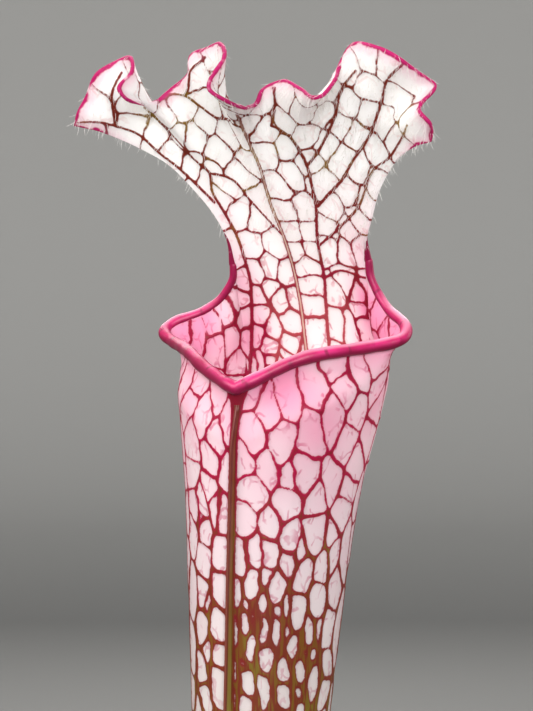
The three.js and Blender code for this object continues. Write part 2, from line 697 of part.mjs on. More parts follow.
function rhizomeWithSockets() {
  let solid = solidFrom(rhizome(0));
  const holes = [
    socket(0, 0, PITCHER_STALK_RADIUS),
    socket(YOUNG.x, YOUNG.y, YOUNG_STALK_RADIUS),
    ...SWORD_LEAVES.map(({ x, y, width }) => socket(x, y, width * 0.42 + 0.3)),
  ];
  for (const hole of holes) solid = solid.subtract(hole);
  return geometryFrom(solid);
}

// ---- the pot and its soil ----

const COLLAR_Z = POT_HEIGHT - POT_COLLAR_HEIGHT;
const bodyRadiusAt = (z) => mix(POT_BASE_RADIUS, POT_RIM_RADIUS - 4.6, z / COLLAR_Z);

function pot() {
  const profile = [
    [0, 0],
    [POT_BASE_RADIUS - 1.5, 0],
    [POT_BASE_RADIUS, 1.5],
    [bodyRadiusAt(COLLAR_Z), COLLAR_Z],
    [POT_RIM_RADIUS - 1.6, COLLAR_Z + 0.8],
    [POT_RIM_RADIUS, POT_HEIGHT - 1.2],
    [POT_RIM_RADIUS - 0.8, POT_HEIGHT],
    [POT_RIM_RADIUS - POT_WALL, POT_HEIGHT],
    [POT_RIM_RADIUS - POT_WALL - 1.8, COLLAR_Z + 2.6],
    [bodyRadiusAt(COLLAR_Z) - POT_WALL, COLLAR_Z],
    [bodyRadiusAt(POT_FLOOR) - POT_WALL, POT_FLOOR],
    [0, POT_FLOOR],
  ];
  const body = new THREE.LatheGeometry(profile.map(([r, z]) => new THREE.Vector2(r, z)), 44);
  body.rotateX(Math.PI / 2);
  let solid = solidFrom(body);
  for (let k = 0; k < DRAIN_HOLES; k += 1) {
    const angle = (2 * Math.PI * k) / DRAIN_HOLES;
    const drill = new THREE.CylinderGeometry(DRAIN_HOLE_RADIUS, DRAIN_HOLE_RADIUS, 20, 12);
    drill.rotateX(Math.PI / 2);
    drill.translate(DRAIN_CIRCLE_RADIUS * Math.cos(angle), DRAIN_CIRCLE_RADIUS * Math.sin(angle), 0);
    solid = solid.subtract(solidFrom(drill));
  }
  return geometryFrom(solid);
}

const lump = (x, y) =>
  SOIL_LUMP * (Math.sin(x * 0.17 + 1) * Math.cos(y * 0.21) + 0.5 * Math.sin(x * 0.41 - y * 0.33));

function soil() {
  const sides = 36;
  const innerRadius = (z) => bodyRadiusAt(z) - POT_WALL - FIT_GAP - 0.2;
  const low = POT_FLOOR + FIT_GAP;
  const circle = (radius, height) =>
    Array.from({ length: sides }, (_, k) => {
      const turn = (2 * Math.PI * k) / sides;
      const [x, y] = [radius * Math.cos(turn), radius * Math.sin(turn)];
      return vector(x, y, height === null ? SOIL_TOP + lump(x, y) : height);
    });
  const topRadius = innerRadius(SOIL_TOP - 3);
  const rings = [circle(innerRadius(low), low), circle(topRadius, SOIL_TOP - 3)];
  for (const share of [0.97, 0.78, 0.58, 0.38, 0.18]) rings.push(circle(topRadius * share, null));
  let solid = solidFrom(loft(rings));
  solid = solid.subtract(solidFrom(rhizome(FIT_GAP)));
  const pit = rhizome(FIT_GAP); // the same again, higher up, so that the bed is open at the top
  pit.translate(0, 0, 6);
  solid = solid.subtract(solidFrom(pit));
  return geometryFrom(solid);
}

// ---- the assembly ----

const plant = new THREE.Group();
const pitcher = new THREE.Group();
pitcher.position.copy(MOUTH_CENTRE);
plant.add(pitcher);

function addPiece(group, name, geometry, colour, roughness = 0.6) {
  geometry.computeVertexNormals();
  const material = new THREE.MeshStandardMaterial({ color: colour, roughness, metalness: 0 });
  const mesh = new THREE.Mesh(geometry, material);
  mesh.name = name;
  group.add(mesh);
}

const leaf = solidFrom(leafSheet(0)).add(solidFrom(wing()));
const CUT_CLEARANCE = 0.18; // what is cut away round the leaf where a neighbour comes close to it
const clearOfLeaf = solidFrom(leafSheet(CUT_CLEARANCE));
const cleared = (geometry) => geometryFrom(solidFrom(geometry).subtract(clearOfLeaf));
addPiece(pitcher, "pitcher_leaf", geometryFrom(leaf), 0xf0d9dc, 0.45);
addPiece(pitcher, "pitcher_lip", cleared(lip()), 0xb3174f, 0.35);

const KEEL_CLEARANCE = 5; // degrees either side of the wing
addPiece(
  pitcher,
  "tube_vein_net",
  cleared(
    veinNet({
      lanes: 14, rows: 8, low: KEEL_CLEARANCE, high: 360 - KEEL_CLEARANCE, from: 0, to: 1,
      window: [0.58, 0.88], on: overTubeByHeight, jitter: 0.22, seed: 11,
    }),
  ),
  0x8c1a3c,
);
addPiece(
  pitcher,
  "hood_vein_net",
  cleared(
    veinNet({
      lanes: 7, rows: 9, low: -0.88, high: 0.88, from: -0.52, to: 0.78,
      window: [0.86, 0.88], on: overBackAndHood, jitter: 0.25, seed: 23,
    }),
  ),
  0x6e1f2c,
);

for (const sword of SWORD_LEAVES) addPiece(plant, sword.name, swordLeaf(sword), 0x6d8f3a);
addPiece(plant, "young_pitcher", youngPitcher(), 0x8aa04c);
addPiece(plant, "rhizome", rhizomeWithSockets(), 0x6b4a35, 0.8);
addPiece(plant, "soil", soil(), 0x3b2a1f, 0.95);
addPiece(plant, "pot", pot(), 0x26282b, 0.55);

export default plant;
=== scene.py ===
# The looks of a white-topped trumpet pitcher plant in a plain round nursery pot.
# Lengths are in millimetres until a mesh is made; +Z is up and the pitcher's keel faces -Y.
# The pitcher is measured from the middle of its mouth, all else from the middle of the pot's foot.

import math

import bmesh
import bpy
import numpy as np
from mathutils import Matrix, Vector, kdtree


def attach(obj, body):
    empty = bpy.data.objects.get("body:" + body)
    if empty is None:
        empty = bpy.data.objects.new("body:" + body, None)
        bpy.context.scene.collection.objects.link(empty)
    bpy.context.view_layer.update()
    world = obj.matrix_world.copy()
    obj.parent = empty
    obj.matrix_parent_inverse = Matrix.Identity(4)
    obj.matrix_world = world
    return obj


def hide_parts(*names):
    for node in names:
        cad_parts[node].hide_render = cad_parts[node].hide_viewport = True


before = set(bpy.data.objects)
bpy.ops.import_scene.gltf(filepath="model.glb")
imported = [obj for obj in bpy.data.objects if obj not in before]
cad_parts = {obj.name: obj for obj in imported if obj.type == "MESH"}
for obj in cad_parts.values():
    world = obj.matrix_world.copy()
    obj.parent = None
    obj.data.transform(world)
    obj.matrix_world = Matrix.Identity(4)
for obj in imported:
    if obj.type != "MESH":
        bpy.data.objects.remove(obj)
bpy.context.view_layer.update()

MM = 0.001

# ---- driving dimensions, the same as the solid parts' ----

POT_HEIGHT = 122
POT_RIM_RADIUS = 70
POT_COLLAR_HEIGHT = 14
POT_BASE_RADIUS = 50
POT_WALL = 1.8
POT_FLOOR = 2.4
DRAIN_HOLES = 8
DRAIN_HOLE_RADIUS = 4.5
DRAIN_CIRCLE_RADIUS = 36
SOIL_TOP = 106
SOIL_LUMP = 1.3
FIT_GAP = 0.3

MOUTH_CENTRE = np.array([9.0, 5.0, 440.0])
TUBE_BASE_Z = -332
LEAF_THICKNESS = 0.9
CAVITY_START = 0.14  # the level above which the tube is hollow
NECK_ANGLE = 133  # degrees from the keel at which the mouth's edge ends and the hood's neck begins
MOUTH_TILT = 0.03  # how much the mouth rises to the right
MOUTH_SHIFT = -0.5  # how far both corners of the mouth are pushed to the right
RUFFLE_POWER = 4  # the higher, the closer the ruffle keeps to the hood's margin
MIDRIB_SHIFT = np.array([-3.6, 1.0, 0.0])  # of the middle of the hood
LEAN_ACROSS_EDGE = 0.6  # how far the flare is turned square to the mouth's edge

# ---- the camera, at the photograph's viewing angle ----

PHOTO_WIDTH, PHOTO_HEIGHT = 533, 711
CAMERA_AZIMUTH = math.radians(27)
CAMERA_ELEVATION = math.radians(3)
CAMERA_DISTANCE = 569.0
LENS = 120.0
SENSOR = 36.0
MOUTH_PIXEL = (283, 383)  # where the photograph shows the middle of the mouth's front edge

FOCAL_PIXELS = LENS * PHOTO_HEIGHT / SENSOR
CAMERA_RIGHT = np.array([math.cos(CAMERA_AZIMUTH), math.sin(CAMERA_AZIMUTH), 0.0])
LEVEL_PART = math.cos(CAMERA_ELEVATION)
CAMERA_BACK = np.array(
    [CAMERA_RIGHT[1] * LEVEL_PART, -CAMERA_RIGHT[0] * LEVEL_PART, math.sin(CAMERA_ELEVATION)]
)
CAMERA_UP = np.cross(CAMERA_BACK, CAMERA_RIGHT)
PIXEL_WIDTH = CAMERA_DISTANCE / FOCAL_PIXELS  # at the mouth
CAMERA_TARGET = (
    CAMERA_UP * (MOUTH_PIXEL[1] - PHOTO_HEIGHT / 2) * PIXEL_WIDTH
    - CAMERA_RIGHT * (MOUTH_PIXEL[0] - PHOTO_WIDTH / 2) * PIXEL_WIDTH
)


def make_camera():
    data = bpy.data.cameras.new("camera")
    data.lens = LENS
    data.sensor_fit = "VERTICAL"
    data.sensor_height = SENSOR
    data.clip_start, data.clip_end = 0.05, 40
    camera = bpy.data.objects.new("camera", data)
    turn = Matrix(np.column_stack([CAMERA_RIGHT, CAMERA_UP, CAMERA_BACK]).tolist())
    place = (MOUTH_CENTRE + CAMERA_TARGET + CAMERA_BACK * CAMERA_DISTANCE) * MM
    camera.matrix_world = Matrix.Translation(Vector(place)) @ turn.to_4x4()
    bpy.context.scene.collection.objects.link(camera)
    bpy.context.scene.camera = camera


def in_photo(points):
    """Where the photograph shows points that are measured from the mouth."""
    from_target = points - CAMERA_TARGET
    depth = CAMERA_DISTANCE - from_target @ CAMERA_BACK
    x = PHOTO_WIDTH / 2 + FOCAL_PIXELS * (from_target @ CAMERA_RIGHT) / depth
    y = PHOTO_HEIGHT / 2 - FOCAL_PIXELS * (from_target @ CAMERA_UP) / depth
    return np.stack([x, y], -1)


make_camera()

# ---- curves and small helpers ----


def mix(a, b, share):
    return a + (b - a) * share


def smooth_step(low, high, value):
    t = np.clip((value - low) / (high - low), 0, 1)
    return t * t * (3 - 2 * t)


def unit(vectors):
    return vectors / np.maximum(np.linalg.norm(vectors, axis=-1, keepdims=True), 1e-9)


def hermite(t, start, leave, end, arrive):
    """A smooth way from start to end that leaves and arrives with the given slopes."""
    return (
        start * (2 * t**3 - 3 * t**2 + 1)
        + leave * (t**3 - 2 * t**2 + t)
        + end * (3 * t**2 - 2 * t**3)
        + arrive * (t**3 - t**2)
    )


def curve_through(knots, values):
    """A smooth curve through values at rising knots, for arrays of places."""
    knots = np.asarray(knots, float)
    values = np.asarray(values, float).reshape(len(knots), -1)
    before = np.maximum(np.arange(len(knots)) - 1, 0)
    after = np.minimum(np.arange(len(knots)) + 1, len(knots) - 1)
    slopes = (values[after] - values[before]) / (knots[after] - knots[before])[:, None]

    def at(place):
        x = np.clip(np.asarray(place, float), knots[0], knots[-1])
        i = np.searchsorted(knots[1:-1], x, side="left")
        span = (knots[i + 1] - knots[i])[..., None]
        t = (x - knots[i])[..., None] / span
        return hermite(t, values[i], slopes[i] * span, values[i + 1], slopes[i + 1] * span)

    return at


def number_curve(knots, values):
    curve = curve_through(knots, values)
    return lambda place: curve(place)[..., 0]


def distance_along(points):
    """How far along a line of points each of them is."""
    steps = np.linalg.norm(np.diff(np.asarray(points, float), axis=0), axis=1)
    return np.concatenate([[0], np.cumsum(steps)])


def chord_knots(points):
    """Knots from 0 to 1 that are spaced as the points are."""
    along = distance_along(points)
    return along / along[-1]


def full_turn(sides):
    return np.linspace(0, 2 * math.pi, sides, endpoint=False)


# ---- the pitcher's form, from the middle of the mouth ----

TUBE_HEIGHTS = [-332, -300, -250, -200, -150, -110, -77, -48, -27, -10, 4, 20]
tube_middle = curve_through(
    TUBE_HEIGHTS,
    [
        [-15, -8], [-15.2, -8.3], [-14, -8], [-11.6, -6.6], [-8.6, -4.6], [-6.2, -3.2],
        [-4.6, -2.3], [-3.4, -1.7], [-2.2, -1.1], [-0.7, -0.4], [0.2, 0], [0.6, 0.2],
    ],
)
tube_radius = number_curve(
    TUBE_HEIGHTS, [4.4, 4.9, 6.3, 8.6, 11.5, 13.9, 16.3, 18.5, 20.4, 23.2, 25.3, 26.2]
)
mouth_edge = curve_through(
    [0, 7, 25, 40, 58, 70, 79, 86, 91, 96, 101, 106, 112, 120, 127, NECK_ANGLE],
    [
        [0, -24.5, 0], [3.2, -23.4, 1.4], [11.2, -18.2, 5.4], [16.8, -13.9, 7.6],
        [22.4, -8, 8.9], [26.6, -3.4, 9.8], [29.8, -0.6, 10.6], [32.2, 0.9, 11.6],
        [33.5, 2.4, 12.8], [33.4, 4.1, 14.5], [31.8, 5.8, 16.4], [29.2, 7.4, 17.9],
        [25.8, 9.2, 19.6], [21.9, 10.6, 22.4], [19.4, 10.4, 25.6], [18.3, 9.6, 29],
    ],
)
edge_moves = curve_through(
    [-NECK_ANGLE, -127, -118, -108, -98, -90, -62, -42, -31, -20, -11, 0,
     20, 31, 42, 62, 79, 90, 98, 108, 116, 122, 127, NECK_ANGLE],
    [
        [0, 0], [0.5, -0.6], [0, -1.9], [0, -2], [0, -1], [0, -0.2], [0, -0.1], [0, -0.4],
        [0, -0.7], [0, -0.9], [0, -0.5], [0, 0], [0, 0.3], [0, 0.1], [0, -0.35], [-0.5, -0.9],
        [-1.6, -1.6], [-2.2, -2.3], [-2.3, -2.6], [-2, -2.6], [-1.6, -2.1], [-1.4, -1.3],
        [-1, -0.6], [0, 0],
    ],
)
HOOD_LEFT = [
    [-18.8, 9.6, 28.4], [-18.6, 7, 34.2], [-20.6, 4, 40.4], [-24.5, 1, 46.4], [-29.8, -2, 52.5],
    [-35.7, -4, 56.2], [-41.6, -6, 59.1], [-46.6, -8, 61.1], [-52.6, -9, 62.4],
]
HOOD_RIGHT = [
    [17.8, 9.6, 29.5], [18.6, 7, 34.3], [21.3, 4, 39.5], [24.4, 1, 45.4], [27.9, -1, 50.2],
    [31.8, -3, 53.8], [36.4, -5, 56], [41.3, -7, 57],
]
MARGIN_LEFT = [
    [-52.6, -9, 62.4], [-48.7, -12, 67.3], [-43.2, -14, 74.3], [-39, -12.5, 77.3],
    [-33.7, -14, 78.1], [-30.5, -20, 74], [-31.2, -24, 70.1], [-29.4, -22, 67.1],
    [-28.8, -14, 66.7], [-24.8, -10, 70.6], [-19.3, -12, 73.7], [-17.6, -14, 78],
    [-12.5, -16, 79.3], [-6.6, -19, 80.1], [-2.4, -26, 76], [-3.9, -30, 69],
    [-0.6, -28, 66.1], [0.2, -20, 64.8],
]
MARGIN_RIGHT = [
    [0.2, -20, 64.8], [0.7, -15, 66.4], [1.6, -13, 69.8], [7.2, -14, 71.4], [13.3, -18, 69.2],
    [18.6, -22, 66.7], [20.9, -21, 67.2], [21.2, -16, 70.9], [20, -11, 74.5], [23.9, -12, 79.3],
    [31.1, -14, 78.2], [36.1, -13, 75.6], [39.3, -9, 72.3], [42, -6, 69.3], [39.4, -9, 65],
    [41.6, -13, 63], [43.4, -12, 60.6], [41.3, -7, 57],
]
NECK_MIDDLE = [-2.2, 11, 29.2]
calm_margin = curve_through(
    [-1, -0.62, -0.3, 0, 0.3, 0.62, 0.85, 1],
    [
        [-52.6, -9, 62.4], [-38, -15, 73], [-18, -17, 74], [0.2, -18.5, 70], [15, -17, 71],
        [30, -13, 74], [40, -9.5, 67], [41.3, -7, 57],
    ],
)
hood_left = curve_through(chord_knots(HOOD_LEFT), HOOD_LEFT)
hood_right = curve_through(chord_knots(HOOD_RIGHT), HOOD_RIGHT)
margin_left = curve_through(chord_knots(MARGIN_LEFT), MARGIN_LEFT)
margin_right = curve_through(chord_knots(MARGIN_RIGHT), MARGIN_RIGHT)
neck_line = curve_through(
    [-1, -0.5, 0, 0.5, 1],
    [HOOD_LEFT[0], [-11, 10.8, 29], NECK_MIDDLE, [8.4, 10.9, 29.4], HOOD_RIGHT[0]],
)
flare_start = number_curve([0, 40, 94, NECK_ANGLE, 180], [-14, -7, 1, -5, -16])
flare_lean = curve_through(
    [0, 60, 94, 110, 127, NECK_ANGLE],
    [[0.5, 0.87], [0.75, 0.66], [0.9, 0.44], [0.62, 0.78], [0.1, 1], [-0.25, 0.97]],
)

CRIMP_HEIGHT = 0.45  # fine waves along the margin
CRIMPS = 46
CRIMP_POWER = 9


def margin(u):
    u = np.asarray(u, float)[..., None]
    return np.where(u < 0, margin_left(u[..., 0] + 1), margin_right(u[..., 0]))


def hood_point(u, s):
    """u runs from -1 at the hood's left edge to 1 at its right, s from the neck up to 1."""
    u, s = np.broadcast_arrays(np.asarray(u, float), np.asarray(s, float))
    across, up = ((u + 1) / 2)[..., None], s[..., None]
    left, right = hood_left(s), hood_right(s)
    bottom, top = neck_line(u), calm_margin(u)
    low = mix(np.array(HOOD_LEFT[0]), np.array(HOOD_RIGHT[0]), across)
    high = mix(calm_margin(-1.0), calm_margin(1.0), across)
    middle = (4 * s * (1 - s) * (1 - u * u))[..., None]
    ruffle = (margin(u) - top) * up**RUFFLE_POWER
    crimp = CRIMP_HEIGHT * np.sin(CRIMPS * u + 2 * np.sin(7 * u)) * s**CRIMP_POWER
    point = mix(left, right, across) + mix(bottom, top, up) - mix(low, high, up)
    point = point + middle * MIDRIB_SHIFT + ruffle
    point[..., 1] += crimp
    return point


def turned_from_keel(angle):
    return (np.asarray(angle, float) + 180) % 360 - 180


def across_back(turned):
    """Where an angle lies across the tube's back: -1 and 1 at the neck's left and right edges."""
    return np.sign(turned) * (180 - np.abs(turned)) / (180 - NECK_ANGLE)


def angle_on_back(u):
    return 180 - u * (180 - NECK_ANGLE)


def top_of_tube(angle):
    """The mouth's edge and the neck as one ring; the angle is 0 at the keel, 180 at the back."""
    turned = turned_from_keel(angle)
    side = np.sign(turned)
    edge = mouth_edge(np.abs(turned))
    x = edge[..., 0]
    moves = edge_moves(np.clip(turned, -NECK_ANGLE, NECK_ANGLE))
    right = side * x + MOUTH_SHIFT * x / 33 + moves[..., 0]
    up = edge[..., 2] + MOUTH_TILT * side * x + moves[..., 1]
    edge = np.stack([right, edge[..., 1], up], -1)
    neck = neck_line(np.clip(across_back(turned), -1, 1))
    return np.where((np.abs(turned) >= NECK_ANGLE)[..., None], neck, edge)


def round_point(angle, height):
    turn = np.radians(angle)
    middle, radius = tube_middle(height), tube_radius(height)
    x = middle[..., 0] + radius * np.sin(turn)
    y = middle[..., 1] - radius * np.cos(turn)
    return np.stack([x, y, np.broadcast_to(height, x.shape)], -1)


def flare_point(angle, t):
    """The flaring part of the tube's side, from 0 in the round form to 1 at the mouth's edge."""
    angle, t = np.broadcast_arrays(np.asarray(angle, float), np.asarray(t, float))
    turned = np.abs(turned_from_keel(angle))
    start = flare_start(turned)
    begin, end = round_point(angle, start), top_of_tube(angle)
    reach = np.linalg.norm(end - begin, axis=-1, keepdims=True)
    leave = unit(begin - round_point(angle, start - 2))
    u = np.clip(across_back(turned_from_keel(angle)), -1, 1)
    into_hood = unit(hood_point(u, 0.06) - hood_point(u, 0.0))
    lean = flare_lean(turned)
    turn = np.radians(angle)
    edge = unit(top_of_tube(angle + 2) - top_of_tube(angle - 2))
    outward = np.stack([lean[..., 0] * np.sin(turn), -lean[..., 0] * np.cos(turn), lean[..., 1]], -1)
    outward = outward - LEAN_ACROSS_EDGE * edge * np.sum(outward * edge, -1, keepdims=True)
    to_neck = smooth_step(NECK_ANGLE - 17, NECK_ANGLE, turned)[..., None]
    arrive = unit(mix(unit(outward), into_hood, to_neck))
    return hermite(t[..., None], begin, leave * reach, end, arrive * reach)


def tube_point(angle, level):
    """level runs from 0 at the tube's foot through 1, where it flares, to 2 at the edge."""
    angle, level = np.broadcast_arrays(np.asarray(angle, float), np.asarray(level, float))
    start = flare_start(np.abs(turned_from_keel(angle)))
    low = round_point(angle, mix(TUBE_BASE_Z, start, np.minimum(level, 1)))
    high = flare_point(angle, np.maximum(level - 1, 0))
    return np.where((level <= 1)[..., None], low, high)


def tube_outward(angle, level):
    along = tube_point(angle + 1, level) - tube_point(angle - 1, level)
    above, below = np.minimum(level + 0.03, 2), np.maximum(level - 0.03, 0)
    return unit(np.cross(along, tube_point(angle, above) - tube_point(angle, below)))


def hood_outward(u, s):
    """Away from the mouth, so towards the back; it meets the tube's own at the neck."""
    clear = np.clip(u, -0.98, 0.98)
    along = hood_point(clear + 0.02, s) - hood_point(clear - 0.02, s)
    up = hood_point(clear, np.minimum(s + 0.02, 1)) - hood_point(clear, np.maximum(s - 0.02, 0))
    at_neck = tube_outward(angle_on_back(u), np.full_like(s, 2.0))
    return unit(mix(at_neck, -unit(np.cross(along, up)), smooth_step(0, 0.08, s)[..., None]))


BACK_LEVELS = 1.4  # levels on the tube for one step of v


def back_point(u, v):
    """The mouth's back wall and the hood as one surface; v is below 0 inside the tube."""
    u, v = np.broadcast_arrays(np.asarray(u, float), np.asarray(v, float))
    wall = tube_point(angle_on_back(u), 2 + np.minimum(v, 0) * BACK_LEVELS)
    return np.where((v < 0)[..., None], wall, hood_point(u, np.maximum(v, 0)))


# ---- the veins ----
# The strong veins follow those that the photograph shows, given by the pixels that they pass.
# Between them, and all round the tube, the net is made of cells that grow round scattered middles.

BACK_LOW = -0.6
STRONG_VEINS = [  # half width where the vein starts and where it ends, and the pixels that it passes
    (0.52, 0.30, [
        (330, 345), (327, 305), (325, 277), (319, 242), (317, 210), (312, 185), (307, 165),
        (292, 137), (272, 125),
    ]),
    (0.42, 0.28, [(307, 165), (322, 145), (335, 117), (342, 92), (357, 70)]),
    (0.42, 0.34, [(318, 205), (342, 180), (355, 157), (370, 135), (382, 102), (387, 80), (405, 62)]),
    (0.36, 0.26, [(320, 245), (342, 225), (360, 205), (375, 170), (392, 155), (409, 125)]),
    (0.36, 0.30, [(325, 277), (342, 270), (366, 277)]),
    (0.50, 0.30, [
        (248, 377), (252, 305), (250, 275), (235, 230), (215, 195), (210, 172), (192, 155),
        (170, 130), (145, 107),
    ]),
    (0.36, 0.30, [(210, 172), (235, 180), (252, 200), (283, 234)]),
    (0.40, 0.30, [(240, 125), (220, 117), (200, 105), (185, 95), (158, 101)]),
    (0.30, 0.36, [(78, 121), (117, 125), (142, 135), (167, 157), (195, 182), (215, 202)]),
    (0.34, 0.28, [(272, 125), (275, 110), (277, 87)]),
    (0.36, 0.30, [(117, 125), (112, 96), (122, 72)]),
    (0.34, 0.28, [(185, 95), (190, 76), (207, 56)]),
]
MIDRIB = [
    (307, 347), (301, 300), (294, 265), (285, 237), (272, 205), (262, 170), (250, 142), (238, 113),
]
MIDRIB_HALF, MIDRIB_END_HALF = 0.62, 0.62 * 0.6
THROAT_ROW = 340  # a vein that starts below this pixel row comes up out of the throat
BACK_GRID = 321  # steps across the back wall and hood, and up them, among which pixels are looked up
NEARER = 0.02  # how much places nearer the camera are preferred
ROUTE_POINTS = 500

# The pale windows that the photograph shows, each by a pixel near its middle.
WINDOWS = [
    (187, 384), (201, 380), (188, 406), (206, 415), (219, 398), (231, 427), (217, 440), (193, 443),
    (183, 450), (211, 458), (195, 474), (187, 476), (228, 474), (211, 490), (196, 506), (188, 512),
    (205, 503), (216, 507), (206, 530), (224, 515), (195, 535), (251, 384), (256, 436), (270, 408),
    (286, 398), (282, 443), (316, 387), (334, 366), (312, 437), (332, 417), (345, 386), (359, 373),
    (375, 364), (374, 387), (357, 412), (373, 412), (366, 431), (347, 443), (353, 466), (331, 482),
    (304, 470), (267, 467), (253, 490), (284, 503), (345, 486), (338, 511), (355, 505), (247, 524),
    (272, 527), (313, 530), (288, 543), (351, 535), (188, 558), (194, 590), (206, 560), (220, 556),
    (242, 558), (254, 552), (270, 554), (286, 560), (302, 577), (298, 616), (320, 566), (331, 556),
    (342, 552), (319, 602), (334, 587), (204, 594), (221, 587), (238, 597), (252, 585), (277, 588),
    (244, 626), (206, 625), (218, 622), (235, 628), (264, 632), (275, 631), (309, 636), (326, 630),
    (336, 628), (250, 645), (292, 650), (236, 668), (268, 659), (285, 671), (301, 671), (310, 681),
    (218, 679), (247, 683), (262, 690), (284, 697), (247, 709), (319, 697), (195, 650), (195, 690),
]
SMALL_WINDOWS = [
    (205, 516), (247, 463), (287, 479), (315, 499), (331, 535), (266, 572), (297, 555), (210, 600),
    (247, 608), (253, 620), (264, 608), (277, 614), (287, 612), (288, 634), (317, 629), (208, 649),
    (219, 656), (305, 654), (311, 657), (206, 672), (298, 692), (235, 697), (206, 697), (297, 710),
    (323, 662), (245, 663),
]
WINDOWS_IN_MOUTH = [
    (184, 330), (197, 333), (212, 325), (224, 311), (214, 347), (231, 341), (243, 319), (245, 338),
    (238, 300), (243, 277), (256, 272), (270, 269), (271, 287), (257, 296), (259, 314), (274, 326),
    (258, 332), (281, 299), (294, 296), (289, 275), (290, 318), (270, 346), (292, 344), (310, 266),
    (315, 284), (317, 305), (318, 328), (334, 291), (347, 282), (358, 294), (361, 309), (372, 291),
    (339, 323), (352, 329), (367, 326), (375, 309), (385, 311), (388, 330), (396, 322),
]
PHOTO_LIP_Y = 350  # the mouth's inside is seen above this pixel row, as far as the lip hides it

NET_LOW, NET_HIGH = -165, 9  # the net's lowest and highest row on the tube
row_step = number_curve([-165, -100, -60, -35, -20, 9], [11, 9.5, 8.6, 8.6, 8.8, 8.8])
LANES_LOW, LANES_HIGH = 25, 21  # columns of cells round the tube, below and above
LANES_CHANGE = -34  # the height at which their number changes
SMALL_CELLS = 150
SMALL_CELL_HOLD = 2.2  # how far a small cell gives way to its neighbours, in square millimetres
CLEAR_OF_KEEL = 4  # degrees between the keel and the nearest cell's middle
WALL_LEVEL = 1.16  # above this level the back wall's cells come with the hood's
NO_VEIN = 30  # further than any vein, in millimetres
squash_at = number_curve([-170, -60, -25, 15, 30, 60], [0.42, 0.45, 0.56, 0.62, 0.75, 0.88])
hood_cell_area = number_curve([-40, 20, 40, 60, 80], [19, 22, 30, 44, 56])
JUNCTION = 0.22  # how softly veins flow into each other
vein_half = number_curve(
    [-235, -175, -150, -125, -105, -77, -50, -30, 0, 20, 32, 90],
    [14, 5, 2.1, 1.35, 0.98, 0.70, 0.47, 0.36, 0.34, 0.32, 0.23, 0.21],
)
draw = np.random.default_rng(41)


def squashed(points):
    """Space in which the net's cells are as wide as they are tall."""
    heights = np.linspace(-340, 110, 226)
    steps = squash_at((heights[1:] + heights[:-1]) / 2) * np.diff(heights)
    rise = np.concatenate([[0], np.cumsum(steps)])
    return np.concatenate([points[..., :2], np.interp(points[..., 2], heights, rise)[..., None]], -1)


def wobble(points, wavelength, seed):
    """A smooth random shift in three directions, between about -1 and 1."""
    random = np.random.default_rng(seed)
    total = np.zeros(points.shape)
    for _ in range(4):
        wave = random.normal(size=(3, 3)) * 2 * math.pi / wavelength / 1.7
        phase = random.uniform(0, 2 * math.pi, 3)
        total += np.sin(points @ wave + phase)
    return total / 2


def routes_on_back():
    """Each strong vein as points on the back wall and hood, with its half width there."""
    u, v = np.meshgrid(np.linspace(-1, 1, BACK_GRID), np.linspace(BACK_LOW, 1, BACK_GRID))
    seen = in_photo(back_point(u, v)).reshape(-1, 2)
    depth = (back_point(u, v) @ CAMERA_BACK).reshape(-1)
    flat = np.stack([u.reshape(-1), v.reshape(-1)], -1)

    def route(pixels, half_from, half_to, run_down):
        places = []
        for pixel in pixels:
            off = np.linalg.norm(seen - np.array(pixel), axis=1) - NEARER * depth
            places.append(flat[np.argmin(off)])
        if run_down:
            places.insert(0, np.array([places[0][0], BACK_LOW]))
        fine = np.linspace(0, 1, ROUTE_POINTS)
        bends = curve_through(chord_knots(places), places)(fine)
        return back_point(bends[:, 0], bends[:, 1]), mix(half_from, half_to, fine)

    strong = [route(pixels, a, b, pixels[0][1] > THROAT_ROW) for a, b, pixels in STRONG_VEINS]
    return strong, route(MIDRIB, MIDRIB_HALF, MIDRIB_END_HALF, True)


BLUNT = 0.15  # a vein's middle line is blunted by this much, so that the mesh carries it whole
least_half = number_curve([18, 34], [0.28, 0.19])  # the finest vein of the net, on tube and hood


def rounded(distance, half):
    """How far a vein's edge is, from the distance to its middle line."""
    return np.sqrt(distance**2 + BLUNT**2) - np.sqrt(half**2 + BLUNT**2)


class NearestVein:
    """How far points are from the nearest of some veins, which all lie above a certain height."""

    LOWEST = -30
    REACH = 14.0  # what is further away counts as this far

    def __init__(self, routes):
        self.points = np.concatenate([points for points, _ in routes])
        self.half = np.concatenate([half for _, half in routes])
        self.tree = kdtree.KDTree(len(self.points))
        for i, point in enumerate(self.points):
            self.tree.insert(point, i)
        self.tree.balance()

    def distance(self, points):
        """To the middle line."""
        result = np.full(len(points), self.REACH)
        for i in np.flatnonzero(points[:, 2] > self.LOWEST):
            result[i] = min(self.tree.find(points[i])[2], self.REACH)
        return result

    def beyond_edge(self, points):
        """To the edge; it is below 0 inside the vein."""
        result = np.full(len(points), self.REACH)
        for i in np.flatnonzero(points[:, 2] > self.LOWEST):
            _, index, distance = self.tree.find(points[i])
            result[i] = min(rounded(distance, self.half[index]), self.REACH)
        return result


